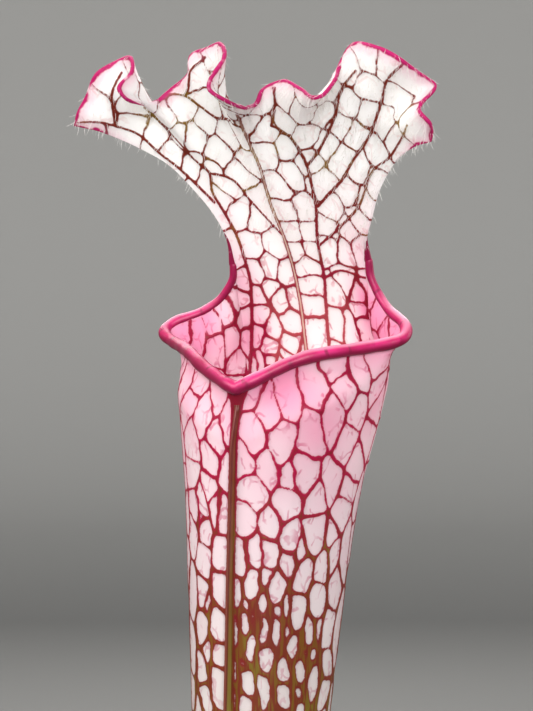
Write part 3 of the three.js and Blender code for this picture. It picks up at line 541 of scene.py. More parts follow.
def flood(open_cells):
    """Numbers the separate fields of an open grid from 1 up; its walls take a neighbour's number."""
    size = open_cells.size
    label = np.where(open_cells, np.arange(1, size + 1).reshape(open_cells.shape), size + 1)

    def spread(label, allowed):
        lowest = label.copy()
        lowest[1:] = np.minimum(lowest[1:], label[:-1])
        lowest[:-1] = np.minimum(lowest[:-1], label[1:])
        lowest[:, 1:] = np.minimum(lowest[:, 1:], label[:, :-1])
        lowest[:, :-1] = np.minimum(lowest[:, :-1], label[:, 1:])
        return np.where(allowed, lowest, label)

    while True:
        wider = spread(label, open_cells)
        if np.array_equal(wider, label):
            break
        label = wider
    while (label > size).any():
        label = spread(label, label > size)
    return np.unique(label, return_inverse=True)[1].reshape(label.shape) + 1


class SeenTube:
    """Which parts of the tube the photograph shows, from outside and through the mouth."""

    MOUTH_LEVEL = 1.2  # the mouth's inside is seen above this level

    def __init__(self):
        angle, level = np.meshgrid(np.arange(0.0, 360.0), np.linspace(0.6, 2, 400))
        self.angle, self.level = angle.reshape(-1), level.reshape(-1)
        self.points = tube_point(self.angle, self.level)
        self.facing = tube_outward(self.angle, self.level) @ CAMERA_BACK
        self.pixels = in_photo(self.points)

    def nearest(self, pixels, allowed):
        candidates = np.flatnonzero(allowed)
        there = self.pixels[candidates]
        found = [candidates[np.argmin(np.linalg.norm(there - np.array(p), axis=1))] for p in pixels]
        return np.array(found)

    def on_front(self, pixels):
        return self.points[self.nearest(pixels, self.facing > 0.05)]

    def in_mouth(self, pixels, net):
        """Middles on the tube's inner face, and the field between strong veins that each is in."""
        found = self.nearest(pixels, (self.facing < -0.02) & (self.level > self.MOUTH_LEVEL))
        return self.points[found], net.field_at(self.angle[found], self.level[found], False)

    def unseen(self, places):
        """Of places on the tube as (angle, level), the points of those that the photograph hides."""
        angle, level = places.T
        points = tube_point(angle, level)
        facing = tube_outward(angle, level) @ CAMERA_BACK
        row = in_photo(points)[:, 1]
        front = (facing > 0.08) & (row < PHOTO_HEIGHT)
        inside = (facing < 0) & (level > self.MOUTH_LEVEL) & (row < PHOTO_LIP_Y)
        return points[~(front | inside)]


class Net:
    """The cells' middles, and how far any point of the skin is from the edge of a vein."""

    FIELD = 150  # steps of the grid on which the fields between strong veins are found
    FIELD_EDGE = 0.35  # how far beyond the strong veins' edges a field begins
    LARGEST_HOLD = 2.5  # of the hood's cells, in square millimetres
    CHUNK = 3000  # points that are measured at once
    NEAREST = 8  # cells that each point is compared with
    PAIRS = 64  # different widths that a cell's veins can have
    BARRED = 1e6  # set on a cell that another field or the keel keeps out
    SHIFTS = ((0.35, 9, 3), (0.16, 3.2, 5))  # amounts, wavelengths and seeds of the veins' bends

    def __init__(self):
        strong, midrib = routes_on_back()
        self.strong = NearestVein(strong + [midrib])
        self.midrib = NearestVein([midrib])
        u = np.linspace(-1, 1, self.FIELD)
        v = np.linspace(BACK_LOW, 1, self.FIELD)
        grid_u, grid_v = np.meshgrid(u, v)
        points = back_point(grid_u, grid_v)
        gap = self.strong.beyond_edge(points.reshape(-1, 3)).reshape(grid_u.shape)
        self.fields = flood(gap > self.FIELD_EDGE)
        slopes = np.gradient(points, axis=1), np.gradient(points, axis=0)
        area = np.linalg.norm(np.cross(*slopes), axis=-1)
        hidden = (grid_v < 0) & (in_photo(points)[..., 1] > PHOTO_LIP_Y)
        seen = SeenTube()
        plain, small = seen.unseen(self.on_tube()), seen.unseen(self.small_on_tube())
        windows = seen.on_front(WINDOWS)
        small = np.concatenate([small, seen.on_front(SMALL_WINDOWS)])
        inside, inside_field = seen.in_mouth(WINDOWS_IN_MOUTH, self)
        groups = [  # middles, the field that they are in, and how far they give way
            (plain, 0, 0),
            (windows, 0, 0),
            (small, 0, SMALL_CELL_HOLD),
            (inside, inside_field, 0),
        ]
        for number in np.unique(self.fields):
            here = (self.fields == number) & ((grid_v > 0.02) | hidden)
            if here.any():
                found = self.in_field(points[here], area[here])
                groups.append((found, number, draw.uniform(0, self.LARGEST_HOLD, len(found))))
        middles = np.concatenate([found for found, _, _ in groups])
        self.side = side_of_keel(middles)
        self.middles = squashed(middles)
        self.field_of, self.holds = (
            np.concatenate([np.broadcast_to(group[k], len(group[0])) for group in groups]) for k in (1, 2)
        )
        self.shade = draw.uniform(0, 1, len(middles))

    def on_tube(self):
        """Columns of cells of uneven height all round the tube, but not high on the back wall."""
        found = []
        for lanes, top, bottom in (
            (LANES_HIGH, NET_HIGH, LANES_CHANGE),
            (LANES_LOW, LANES_CHANGE, NET_LOW),
        ):
            widths = draw.uniform(0.65, 1.35, lanes)
            middles = (np.cumsum(widths) - widths / 2) / widths.sum() * 360
            for lane, middle in enumerate(middles):
                z = top - (0.5 * (lane % 2) + draw.uniform(0, 0.35)) * float(row_step(top))
                while z > bottom:
                    angle = middle + draw.uniform(-0.1, 0.1) * 360 / lanes
                    turned = turned_from_keel(angle)
                    if abs(turned) < CLEAR_OF_KEEL:
                        angle += math.copysign(CLEAR_OF_KEEL, turned)
                    level = level_at(angle, z)
                    if level is not None and not (abs(turned) > NECK_ANGLE and level > WALL_LEVEL):
                        found.append((angle, level))
                    z -= float(row_step(z)) * draw.uniform(0.6, 1.5)
        return np.array(found)

    def small_on_tube(self):
        found = []
        while len(found) < SMALL_CELLS:
            angle, z = draw.uniform(8, 352), draw.triangular(-135, -75, -8)
            level = level_at(angle, z)
            if level is not None:
                found.append((angle, level))
        return np.array(found)

    @staticmethod
    def in_field(points, area):
        """Middles spread evenly over one field between strong veins."""
        share = area / hood_cell_area(points[:, 2])
        count = max(1, round(share.sum()))
        chosen = draw.choice(len(points), min(count, len(points)), replace=False, p=share / share.sum())
        space = squashed(points)
        middles = space[chosen]
        for _ in range(5):
            nearest = np.argmin(np.linalg.norm(space[:, None] - middles[None], axis=-1), axis=1)
            for k in range(len(middles)):
                mine = nearest == k
                if mine.any():
                    middles[k] = np.average(space[mine], axis=0, weights=share[mine])
        closest = [np.argmin(np.linalg.norm(space - middle, axis=1)) for middle in middles]
        return points[closest]

    def field_at(self, angle_or_u, level_or_s, on_hood):
        """The field between strong veins that a place is in, or 0 where there are none."""
        if on_hood:
            u, v = angle_or_u, level_or_s
            known = np.ones(u.shape, bool)
        else:
            u = across_back(turned_from_keel(angle_or_u))
            v = (level_or_s - 2) / BACK_LEVELS
            known = (np.abs(u) <= 1) & (v >= BACK_LOW)
        last = self.FIELD - 1
        column = np.clip(np.round((u + 1) / 2 * last), 0, last).astype(int)
        row = np.clip(np.round((v - BACK_LOW) / (1 - BACK_LOW) * last), 0, last).astype(int)
        return np.where(known, self.fields[row, column], 0)

    def measure(self, points, fields):
        """For each point: how far it is from a vein's edge (below 0 inside one), how far from the
        midrib, and the shade of its cell."""
        flat = points.reshape(-1, 3)
        bent = flat
        for amount, wavelength, seed in self.SHIFTS:
            bent = bent + amount * wobble(flat, wavelength, seed)
        places = squashed(bent)
        numbers = fields.reshape(-1)
        gaps, shade = np.empty((2, len(flat)))
        uneven = np.random.default_rng(8).uniform(0.62, 1.45, (len(self.middles), self.PAIRS))
        for start in range(0, len(flat), self.CHUNK):
            part = slice(start, start + self.CHUNK)
            gaps[part], shade[part] = self.measure_part(flat[part], places[part], numbers[part], uneven)
        gaps = soft_least(soft_least(gaps, self.strong.beyond_edge(flat)), keel_gap(flat))
        return [a.reshape(points.shape[:-1]) for a in (gaps, self.midrib.distance(flat), shade)]

    def measure_part(self, points, places, fields, uneven):
        power = ((places[:, None] - self.middles[None]) ** 2).sum(-1) + self.holds
        fields = fields[:, None]
        apart = (fields != self.field_of) & (fields > 0) & (self.field_of > 0)
        apart |= side_of_keel(points)[:, None] * self.side < 0
        power[apart] = self.BARRED
        order = np.argpartition(power, self.NEAREST - 1, axis=1)[:, : self.NEAREST]
        values = np.take_along_axis(power, order, 1)
        rank = np.argsort(values, axis=1)
        order = np.take_along_axis(order, rank, 1)
        values = np.take_along_axis(values, rank, 1)
        first, others = order[:, :1], order[:, 1:]
        between = self.middles[others] - self.middles[first]
        length = np.maximum(np.linalg.norm(between, axis=-1), 1e-6)
        distance = (values[:, 1:] - values[:, :1]) / (2 * length)
        # the distance is turned back into true millimetres, and veins that run across are narrower
        height = points[:, 2:]
        lift = between[..., 2] / length
        real = 1 / np.sqrt(1 - lift**2 + (lift * squash_at(height)) ** 2)
        low_share = smooth_step(-25, -80, height)
        steep = mix(mix(0.92, 0.5, low_share), 1.0, 1 - lift**2)
        pair = uneven[np.minimum(first, others), (first + others) % self.PAIRS]
        width = np.maximum(vein_half(height) * steep * pair, least_half(height))
        edge = rounded(distance * real, width)
        edge = np.where(values[:, 1:] >= self.BARRED, NO_VEIN, edge)
        lowest = edge.min(1, keepdims=True)
        soft = JUNCTION * (1 + 1.5 * low_share)
        gap = lowest - soft * np.log(np.exp(-(edge - lowest) / soft).sum(1, keepdims=True))
        return gap[:, 0], self.shade[first[:, 0]]


def soft_least(a, b):
    least = np.minimum(a, b)
    return least - JUNCTION * np.log(np.exp((least - a) / JUNCTION) + np.exp((least - b) / JUNCTION))


SIDES_END = 8  # the height up to which cells keep to their side of the keel
KEEL_END, KEEL_DEPTH = 4, 6  # how high the keel's band runs, and how far back it counts
keel_half = number_curve([-332, -150, -60, -12, -4, 0], [2.2, 1.6, 1.25, 1.15, 1.5, 2.6])


def side_of_keel(points):
    """-1 or 1 on the tube's front, left or right of the keel, and 0 elsewhere."""
    keel = tube_middle(np.clip(points[:, 2], TUBE_BASE_Z, 0))
    in_front = (points[:, 1] < keel[:, 1]) & (points[:, 2] < SIDES_END)
    return np.where(in_front, np.sign(points[:, 0] - keel[:, 0]), 0)


def keel_gap(points):
    """How far points are from the edge of the band that runs down the keel."""
    z = np.clip(points[:, 2], TUBE_BASE_Z, 0)
    keel = round_point(np.zeros(len(points)), z)
    sideways = np.abs(points[:, 0] - keel[:, 0])
    in_front = points[:, 1] < keel[:, 1] + KEEL_DEPTH
    return np.where(in_front & (points[:, 2] < KEEL_END), sideways - keel_half(z), NO_VEIN)


SOUGHT_LEVELS = np.linspace(0.3, 2, 240)


def level_at(angle, z):
    """The level on the tube at which its surface is at height z, or None above the edge."""
    heights = tube_point(np.full(len(SOUGHT_LEVELS), float(angle)), SOUGHT_LEVELS)[:, 2]
    above = np.flatnonzero(heights > z)
    return float(SOUGHT_LEVELS[above[0]]) if len(above) else None


# ---- meshes ----


def grid_faces(numbers, closed=False, flip=False):
    """Quads of a grid of vertex numbers, in rows."""
    if closed:
        numbers = np.hstack([numbers, numbers[:, :1]])
    a, b = numbers[:-1, :-1], numbers[:-1, 1:]
    c, d = numbers[1:, 1:], numbers[1:, :-1]
    quads = np.stack([a, b, c, d], -1).reshape(-1, 4)
    return quads[:, ::-1] if flip else quads


class Body:
    """Collects one closed mesh: its points in millimetres, their named numbers and the faces."""

    def __init__(self, keys=()):
        self.points, self.faces, self.sharp, self.count = [], [], [], 0
        self.numbers = {key: [] for key in keys}

    def add(self, points, **numbers):
        """Adds points and gives back their numbers in the same arrangement."""
        flat = points.reshape(-1, 3)
        ids = np.arange(self.count, self.count + len(flat)).reshape(points.shape[:-1])
        self.count += len(flat)
        self.points.append(flat)
        for key, stored in self.numbers.items():
            value = np.broadcast_to(np.asarray(numbers[key], float), points.shape[:-1])
            stored.append(value.reshape(-1))
        return ids

    def quads(self, quads):
        self.faces.extend(quads.tolist())

    def quads_along_veins(self, quads):
        """Splits each quad along the diagonal that lies deeper in a vein."""
        vein = np.concatenate(self.numbers["vein"])
        a, b, c, d = quads.T
        first = vein[a] + vein[c] <= vein[b] + vein[d]
        one = np.stack([a, b, np.where(first, c, d)], -1)
        other = np.stack([np.where(first, a, b), c, d], -1)
        self.faces.extend(np.concatenate([one, other]).tolist())

    def fan(self, ring, centre, flip=False):
        """Triangles from a ring of points to one in its middle."""
        ahead = np.roll(ring, -1)
        triangles = np.stack([ring, ahead, np.full(len(ring), centre)], -1)
        self.faces.extend((triangles[:, ::-1] if flip else triangles).tolist())

    def finish(self, name):
        """The mesh as an object in the scene, smooth but for edges between two sharp points."""
        points = (np.concatenate(self.points) * MM).tolist()
        mesh = bpy.data.meshes.new(name)
        mesh.from_pydata(points, [], [list(map(int, face)) for face in self.faces])
        mesh.polygons.foreach_set("use_smooth", np.ones(len(mesh.polygons), bool))
        for key, stored in self.numbers.items():
            store = mesh.attributes.new(key, "FLOAT", "POINT")
            store.data.foreach_set("value", np.concatenate(stored).astype(np.float32))
        if self.sharp:
            ends = np.empty(2 * len(mesh.edges), np.int32)
            mesh.edges.foreach_get("vertices", ends)
            hard = np.isin(ends.reshape(-1, 2), np.concatenate(self.sharp)).all(1)
            mesh.attributes.new("sharp_edge", "BOOLEAN", "EDGE").data.foreach_set("value", hard)
        mesh.update()
        piece = bpy.data.objects.new(name, mesh)
        bpy.context.scene.collection.objects.link(piece)
        return piece


# ---- the pitcher's skin ----

VEIN_RISE = 0.2  # how far the veins stand out of the skin
RIB_RISE = 0.1  # fine ribs on the green part of the tube
RIBS = 38
MIDRIB_GROOVE = 0.22
OUTER_HAIR = 0.1  # how hairy the outer face of the hood is beside the inner one
SKIN_KEYS = ("vein", "midrib", "cell", "rim", "blush", "hairy")
blush_by_height = number_curve(
    [-160, -110, -75, -57, -42, -28, -14, 0, 10, 20, 28, 38, 52],
    [0, 0.03, 0.06, 0.08, 0.12, 0.18, 0.31, 0.52, 0.72, 0.62, 0.3, 0.1, 0],
)


def blush_at(points):
    """How pink the skin is between its veins; the middle of the mouth's back wall stays pale."""
    x, y, z = np.moveaxis(points, -1, 0)
    side = smooth_step(9, 16, np.abs(x + 1))
    back = smooth_step(2, 6, y) * smooth_step(-12, -2, z)
    patches = np.clip(1 + 0.28 * wobble(points, 14, 21)[..., 0], 0.4, 1.6)
    under_lip = smooth_step(-34, -8, z) * smooth_step(0, -8, y)
    under_lip = under_lip * smooth_step(-6, 2, x) * smooth_step(24, 12, x)
    flare = smooth_step(21, 29, np.abs(x)) * smooth_step(1, 8, z)
    flare = flare + smooth_step(12, 16, x) * smooth_step(8, 16, z)
    patches = patches * (1 + 0.5 * under_lip + 0.45 * flare)
    return np.clip(blush_by_height(z) * patches * mix(1, mix(0.04, 1, side), back), 0, 1)


def skin_sides(body, middle, outward, measures, rim, hairy=0.0):
    """Adds the outer and inner faces of the skin round its middle surface. It gives back their point
    numbers and what both faces carry; the inner face is the hairy one."""
    gap, midrib, shade = measures
    rise = VEIN_RISE * smooth_step(0.25, -0.3, gap) * smooth_step(0, 1.2, rim)
    rise = rise - MIDRIB_GROOVE * smooth_step(0.4, 0.0, midrib)
    half = (LEAF_THICKNESS / 2 + rise)[..., None]
    numbers = {"vein": gap, "midrib": midrib, "cell": shade, "rim": rim, "blush": blush_at(middle)}
    outer = body.add(middle + outward * half, hairy=OUTER_HAIR * hairy, **numbers)
    inner = body.add(middle - outward * half, hairy=hairy, **numbers)
    return outer, inner, numbers


HOOD_COLUMNS, HOOD_ROWS = 180, 262  # of each half of the hood
HOOD_EDGE_ROUND = 0.3


def hood_skin(net, name, side):
    """One half of the hood: side is -1 for the left and 1 for the right of its middle line."""
    columns, rows = HOOD_COLUMNS, HOOD_ROWS
    share = np.linspace(0, 0.5, columns + 1) + (0.5 if side < 0 else 0)
    u = np.cos(share * math.pi) * 0.25 + (1 - 2 * share) * 0.75
    u, s = np.meshgrid(u, np.linspace(0, 1, rows + 1))
    middle, outward = hood_point(u, s), hood_outward(u, s)
    measures = net.measure(middle, net.field_at(u, s, True))
    step = np.linalg.norm(np.diff(middle, axis=0), axis=-1)
    below_margin = np.vstack([np.cumsum(step[::-1], 0)[::-1], np.zeros((1, columns + 1))])
    side_step = np.linalg.norm(np.diff(middle, axis=1), axis=-1)
    from_start = np.hstack([np.zeros((rows + 1, 1)), np.cumsum(side_step, 1)])
    to_side = from_start if side > 0 else from_start[:, -1:] - from_start
    rim = np.minimum(below_margin, to_side + 4 * smooth_step(0.9, 0.6, s))
    hairy = mix(0.4, 1, smooth_step(-0.1, 0.5, u)) * smooth_step(0.02, 0.15, s)
    body = Body(SKIN_KEYS)
    outer, inner, numbers = skin_sides(body, middle, outward, measures, rim, hairy)
    body.quads_along_veins(grid_faces(outer))
    body.quads_along_veins(grid_faces(inner, flip=True))
    # the edge is rounded off, but flat at the neck and where the halves meet
    open_column, inward = (0, 1) if side > 0 else (columns, columns - 1)
    push = np.zeros(middle.shape)
    push[-1] += unit(middle[-1] - middle[-2])
    push[1:, open_column] += unit(middle[1:, open_column] - middle[1:, inward])
    around = [(0, c) for c in range(columns + 1)]
    around += [(r, columns) for r in range(1, rows + 1)]
    around += [(rows, c) for c in range(columns - 1, -1, -1)]
    around += [(r, 0) for r in range(rows - 1, 0, -1)]
    r, c = np.array(around).T
    numbers["hairy"] = hairy
    edge = middle[r, c] + HOOD_EDGE_ROUND * push[r, c]
    ring = body.add(edge, **{key: value[r, c] for key, value in numbers.items()})
    body.quads(grid_faces(np.stack([inner[r, c], ring, outer[r, c]]), closed=True))
    seam_column = columns - open_column
    for face in (outer, inner):
        body.sharp += [face[0], face[:, seam_column]]
    return body.finish(name)


TUBE_COLUMNS = 360
THROAT_ROWS, UPPER_ROWS, PATTERNED_ROWS, PLAIN_ROWS = 120, 190, 150, 80
SEAM_LEVEL = 0.69  # where the upper and lower pieces of the tube's skin meet
NET_LEVEL = 0.4  # below this level the tube has no net, and fewer rows
FAR_FROM_RIM = 9.0
tube_angles = np.linspace(0, 360, TUBE_COLUMNS, endpoint=False)


def close_ring(body, outer, inner, flip):
    """The edge of the tube's skin, straight across its thickness."""
    body.quads(grid_faces(np.stack([outer, inner]), closed=True, flip=flip))
    body.sharp += [outer, inner]


def every_sixth(first, rows):
    """The row numbers from first on that a face of fewer rows keeps; the last is among them."""
    return np.unique(np.append(np.arange(first, rows, 6), rows - 1))


def tube_skin(net, levels, sparse=None):
    """A stretch of the tube's skin; sparse gives the rows that its inner face has, if not all."""
    angle, level = np.meshgrid(tube_angles, levels)
    middle, outward = tube_point(angle, level), tube_outward(angle, level)
    measures = net.measure(middle, net.field_at(angle, level, False))
    ribs = RIB_RISE * np.sin(np.radians(angle) * RIBS) * smooth_step(-100, -160, middle[..., 2])
    middle = middle + outward * ribs[..., None]
    body = Body(SKIN_KEYS)
    outer, inner, _ = skin_sides(body, middle, outward, measures, np.full(angle.shape, FAR_FROM_RIM))
    kept = inner if sparse is None else inner[sparse]
    body.quads_along_veins(grid_faces(outer, closed=True))
    body.quads_along_veins(grid_faces(kept, closed=True, flip=True))
    close_ring(body, outer[-1], inner[-1], False)
    if sparse is None or sparse[0] == 0:
        close_ring(body, outer[0], inner[0], True)
    return body, middle, outer, kept


def throat_skin(net):
    body, *_ = tube_skin(net, np.linspace(1, 2, THROAT_ROWS))
    return body.finish("pitcher_throat")


def upper_tube_skin(net):
    levels = np.linspace(SEAM_LEVEL, 1, UPPER_ROWS)
    body, *_ = tube_skin(net, levels, every_sixth(0, UPPER_ROWS))
    return body.finish("pitcher_tube_upper")


def lower_tube_skin(net):
    """The tube's foot, solid up to where the cavity starts, and the plain part above it."""
    patterned = np.linspace(NET_LEVEL, SEAM_LEVEL, PATTERNED_ROWS)
    levels = np.concatenate([np.linspace(0, NET_LEVEL, PLAIN_ROWS)[:-1], patterned])
    first = int(np.argmax(levels >= CAVITY_START))
    body, middle, outer, kept = tube_skin(net, levels, every_sixth(first, len(levels)))
    numbers = dict(vein=-3.0, midrib=14.0, cell=0.5, rim=FAR_FROM_RIM, blush=0.0, hairy=0.0)
    for ring, centre, flip in ((kept[0], middle[first], False), (outer[0], middle[0], True)):
        body.fan(ring, body.add(centre.mean(0)[None], **numbers)[0], flip=flip)
    return body.finish("pitcher_tube_lower")


# ---- skins over rings of points ----


def carried_frames(path, first_side):
    """For each point of a path, two directions across it that turn no more than they must."""
    along = unit(np.gradient(path, axis=0))
    side = np.asarray(first_side, float)
    sides = []
    for direction in along:
        side = unit(side - direction * np.dot(side, direction))
        sides.append(side)
    sides = np.array(sides)
    return sides, np.cross(along, sides)


def rings_along(path, side, section):
    """Rings from sections of (across, over) pairs along a path that leans towards one side."""
    along = unit(np.gradient(path, axis=0))
    across = unit(np.cross(side, along))
    over = np.cross(along, across)
    return path[:, None] + section[..., :1] * across[:, None] + section[..., 1:] * over[:, None]


def turned_rings(profile, sides):
    """Rings round the Z axis from a profile of (radius, height) pairs."""
    turn = full_turn(sides)
    radius, height = profile[:, :1], profile[:, 1:]
    return np.stack([radius * np.cos(turn), radius * np.sin(turn), np.repeat(height, sides, 1)], -1)


def lofted(body, rings, tips=None, at_tips=None, **numbers):
    """A closed skin over rings of points, with one more point at each end: in the middle of the last
    ring unless tips says where, with what that ring's first point carries unless at_tips says so."""
    ids = body.add(rings, **numbers)
    body.quads(grid_faces(ids, closed=True))
    size = rings.shape[:2]
    for end, flip in ((0, True), (-1, False)):
        carried = {key: np.broadcast_to(value, size)[end, 0] for key, value in numbers.items()}
        carried.update(at_tips or {})
        tip = rings[end].mean(0) if tips is None else np.array(tips[end], float)
        body.fan(ids[end], body.add(tip[None], **carried)[0], flip=flip)


# ---- the lip and the keel's wing ----

LIP_RUN_UP = 0.15  # how far the rolled edge runs up each side of the hood before it is gone
LIP_RINGS, LIP_SIDES = 620, 28
RUN_UP_STEPS, EDGE_STEPS = 60, 520
LIP_TIP = 0.3  # how far the ends are drawn out, in radii
lip_radius = number_curve([0, 94, 109, 121, NECK_ANGLE], [1.6, 1.45, 1.2, 1.05, 0.9])


def lip():
    """The mouth's rolled edge. Its number "below" is -1 on the roll's top and 1 on its underside, and
    higher at the front on the left, where the roll is in shade; the lip's finish paints shade and a
    highlight from it."""
    run = np.linspace(LIP_RUN_UP, 0, RUN_UP_STEPS, endpoint=False)
    angles = np.linspace(-NECK_ANGLE, NECK_ANGLE, EDGE_STEPS)
    path = np.concatenate([hood_left(run), top_of_tube(angles), hood_right(run[::-1])])
    thin = mix(0.9, 0.25, run / LIP_RUN_UP)
    radius = np.concatenate([thin, lip_radius(np.abs(angles)), thin[::-1]])
    along = distance_along(path)
    even = np.linspace(0, along[-1], LIP_RINGS)
    path = np.stack([np.interp(even, along, path[:, k]) for k in range(3)], -1)
    radius = np.interp(even, along, radius)
    radius = radius * (1 + 0.035 * np.sin(even * 0.9) + 0.03 * np.sin(even * 0.37 + 2))
    path = path + 0.12 * wobble(path, 16, 12)
    across, over = carried_frames(path, (0, 0, 1))
    turn = full_turn(LIP_SIDES)
    rings = (
        path[:, None]
        + across[:, None] * np.cos(turn)[:, None] * radius[:, None, None]
        + over[:, None] * np.sin(turn)[:, None] * (radius * 1.02)[:, None, None]
    )
    below = (path[:, None, 2] - rings[..., 2]) / radius[:, None]
    # painted shade: the roll's front on the left counts as further under, so the finish paints it darker
    left_front_shade = smooth_step(6, -8, rings[..., 0]) * smooth_step(4, -4, rings[..., 1])
    tips = [
        path[0] - unit(path[1] - path[0]) * LIP_TIP * radius[0],
        path[-1] + unit(path[-1] - path[-2]) * LIP_TIP * radius[-1],
    ]
    body = Body(("along", "below"))
    lofted(body, rings, tips, {"below": 0.0}, along=even[:, None], below=below + 0.8 * left_front_shade)
    return body.finish("pitcher_rolled_lip")


WING_LOW, WING_TOP = 0.1, 1.72  # levels on the tube
WING_RINGS, CREST_POINTS = 330, 9
WING_THICKNESS = 1.0
wing_depth = number_curve(
    [WING_LOW, 0.2, 0.45, 0.75, 1, 1.5, WING_TOP], [0.4, 3.6, 5.2, 3, 1.7, 1.2, 0.5]
)


def keel_wing():
    """A narrow blade with a rounded crest that runs up the keel and dies out under the lip."""
    levels = np.linspace(WING_LOW, WING_TOP, WING_RINGS)
    keel = np.zeros(len(levels))
    root = tube_point(keel, levels)
    outward = tube_outward(keel, levels)
    depth = wing_depth(levels) + LEAF_THICKNESS / 2
    sway = 0.35 * np.sin(levels * 23) * smooth_step(2.0, 5.0, depth)
    side = np.array([1.0, 0.0, 0.0])
    half = WING_THICKNESS / 2
    crest_half = half * 0.62
    rings = []
    for point, out, reach, bend in zip(root, outward, depth, sway):
        base = point - out * 0.2
        crest = point + out * (reach - crest_half) + side * bend
        waist = point + out * (LEAF_THICKNESS / 2 + 0.5)
        ring = [base + side * half * 1.5, waist + side * half]
        for t in np.linspace(0, math.pi, CREST_POINTS):
            ring.append(crest + side * crest_half * math.cos(t) + out * crest_half * math.sin(t))
        rings.append(ring + [waist - side * half, base - side * half * 1.5])
    rings = np.array(rings)
    from_root = np.einsum("rpk,rk->rp", rings - root[:, None], outward)
    body = Body(("crest",))
    lofted(body, rings, None, {"crest": 0.5}, crest=depth[:, None] - from_root)
    return body.finish("pitcher_keel_wing")


# ---- the small leaves and the rhizome, measured like all that follows from the pot's foot ----

CROWN = MOUTH_CENTRE + np.array([-15, -8, TUBE_BASE_Z])
SWORD_LEAVES = [
    dict(name="sword_leaf_left", x=-12, y=6, heading=262, height=172, reach=46, width=6.5),
    dict(name="sword_leaf_back", x=-1, y=10, heading=160, height=198, reach=38, width=7.5),
    dict(name="sword_leaf_right", x=11.5, y=3, heading=82, height=146, reach=42, width=6),
]
SWORD_RINGS, SWORD_SIDES = 150, 44
sword_width = number_curve([0, 0.12, 0.35, 0.7, 0.92, 1], [0.32, 0.36, 0.85, 1, 0.5, 0.08])
YOUNG = dict(x=-2, y=-11.5, heading=345, height=158, reach=20)
YOUNG_RINGS, YOUNG_SIDES = 190, 72
FOLD_AT = 0.79  # where its hood is folded down, as a share of its length
young_radius = number_curve([0, 0.1, 0.4, 0.7, 0.82, 0.93, 1], [2.4, 2.5, 3.6, 5.4, 6, 4.4, 0.8])
RHIZOME_RINGS, RHIZOME_SIDES = 230, 84
RHIZOME_LENGTH = 66
RHIZOME_RADIUS = 13
RHIZOME_HEADING = 25  # degrees from +X, towards +Y
RHIZOME_TIP_PAST_CROWN = 19
RHIZOME_FLATNESS = 0.82
OLD_LEAF_SCARS = 9
rhizome_radius = number_curve(
    [0, 0.06, 0.3, 0.6, 0.8, 0.95, 1], [0.25, 0.55, 0.72, 0.9, 1.25, 1, 0.5]
)


def arch(x, y, heading, height, reach, droop, share):
    """A path that rises from the crown and arches over."""
    turn = math.radians(heading)
    out, up = reach * share**2, height * (share - droop * share**3)
    start = CROWN + np.array([x, y, 0])
    side = np.array([math.sin(turn), -math.cos(turn), 0])
    return start + np.stack([out * side[0], out * side[1], up], -1), side


def sword_leaf(name, width, **place):
    share = np.linspace(0, 1, SWORD_RINGS)
    path, side = arch(droop=0.08, share=share, **place)
    turn = full_turn(SWORD_SIDES)
    ripple = 1 + 0.05 * np.sin(share * 31 + width) * smooth_step(0.3, 0.6, share)
    half = width * sword_width(share) * ripple
    thick = mix(1.5, 0.6, share)
    ridge = np.sin(turn) * np.where(np.sin(turn) > 0, 0.92, 0.6)
    ribs = 0.06 * np.cos(9 * math.pi * np.cos(turn))
    section = np.stack([half[:, None] * np.cos(turn), thick[:, None] * (ridge + ribs)], -1)
    body = Body(("along", "across"))
    lofted(body, rings_along(path, side, section), along=share[:, None], across=np.cos(turn)[None])
    return body.finish(name + "_blade")


def young_pitcher():
    """A pitcher that hasn't opened yet: its hood is folded down over the tip."""
    share = np.linspace(0, 1, YOUNG_RINGS)
    path, side = arch(droop=0.02, share=share, **YOUNG)
    share = share[:, None]
    turn = full_turn(YOUNG_SIDES)
    flat = mix(1, 0.62, np.clip((share - 0.72) / 0.2, 0, 1))
    fold = share - (FOLD_AT + 0.045 * np.cos(turn - math.pi / 2))
    groove = -0.5 * np.exp(-((fold / 0.006) ** 2))
    groove = groove + 0.3 * smooth_step(0, 0.02, fold) * smooth_step(0.2, 0.1, fold)
    ribs = 0.1 * np.sin(14 * turn) * smooth_step(1.0, 0.7, share)
    from_front = np.angle(np.exp(1j * (turn - math.pi / 2)))
    keel = 0.9 * np.exp(-((from_front / 0.13) ** 2)) * smooth_step(0.04, 0.2, share)
    keel = keel * smooth_step(0.84, 0.76, share)
    radius = young_radius(share) + groove + ribs + keel
    section = np.stack([radius * np.cos(turn), radius * flat * np.sin(turn)], -1)
    body = Body(("along",))
    lofted(body, rings_along(path, side, section), along=share)
    return body.finish("young_pitcher_skin")


def rhizome_path(share):
    turn = math.radians(RHIZOME_HEADING)
    direction = np.array([math.cos(turn), math.sin(turn), 0])
    tip = np.array([CROWN[0], CROWN[1], SOIL_TOP + 1]) - RHIZOME_TIP_PAST_CROWN * direction
    share = np.asarray(share, float)[..., None]
    return tip + direction * RHIZOME_LENGTH * (1 - share) - np.array([0, 0, 3]) * (1 - share) ** 2


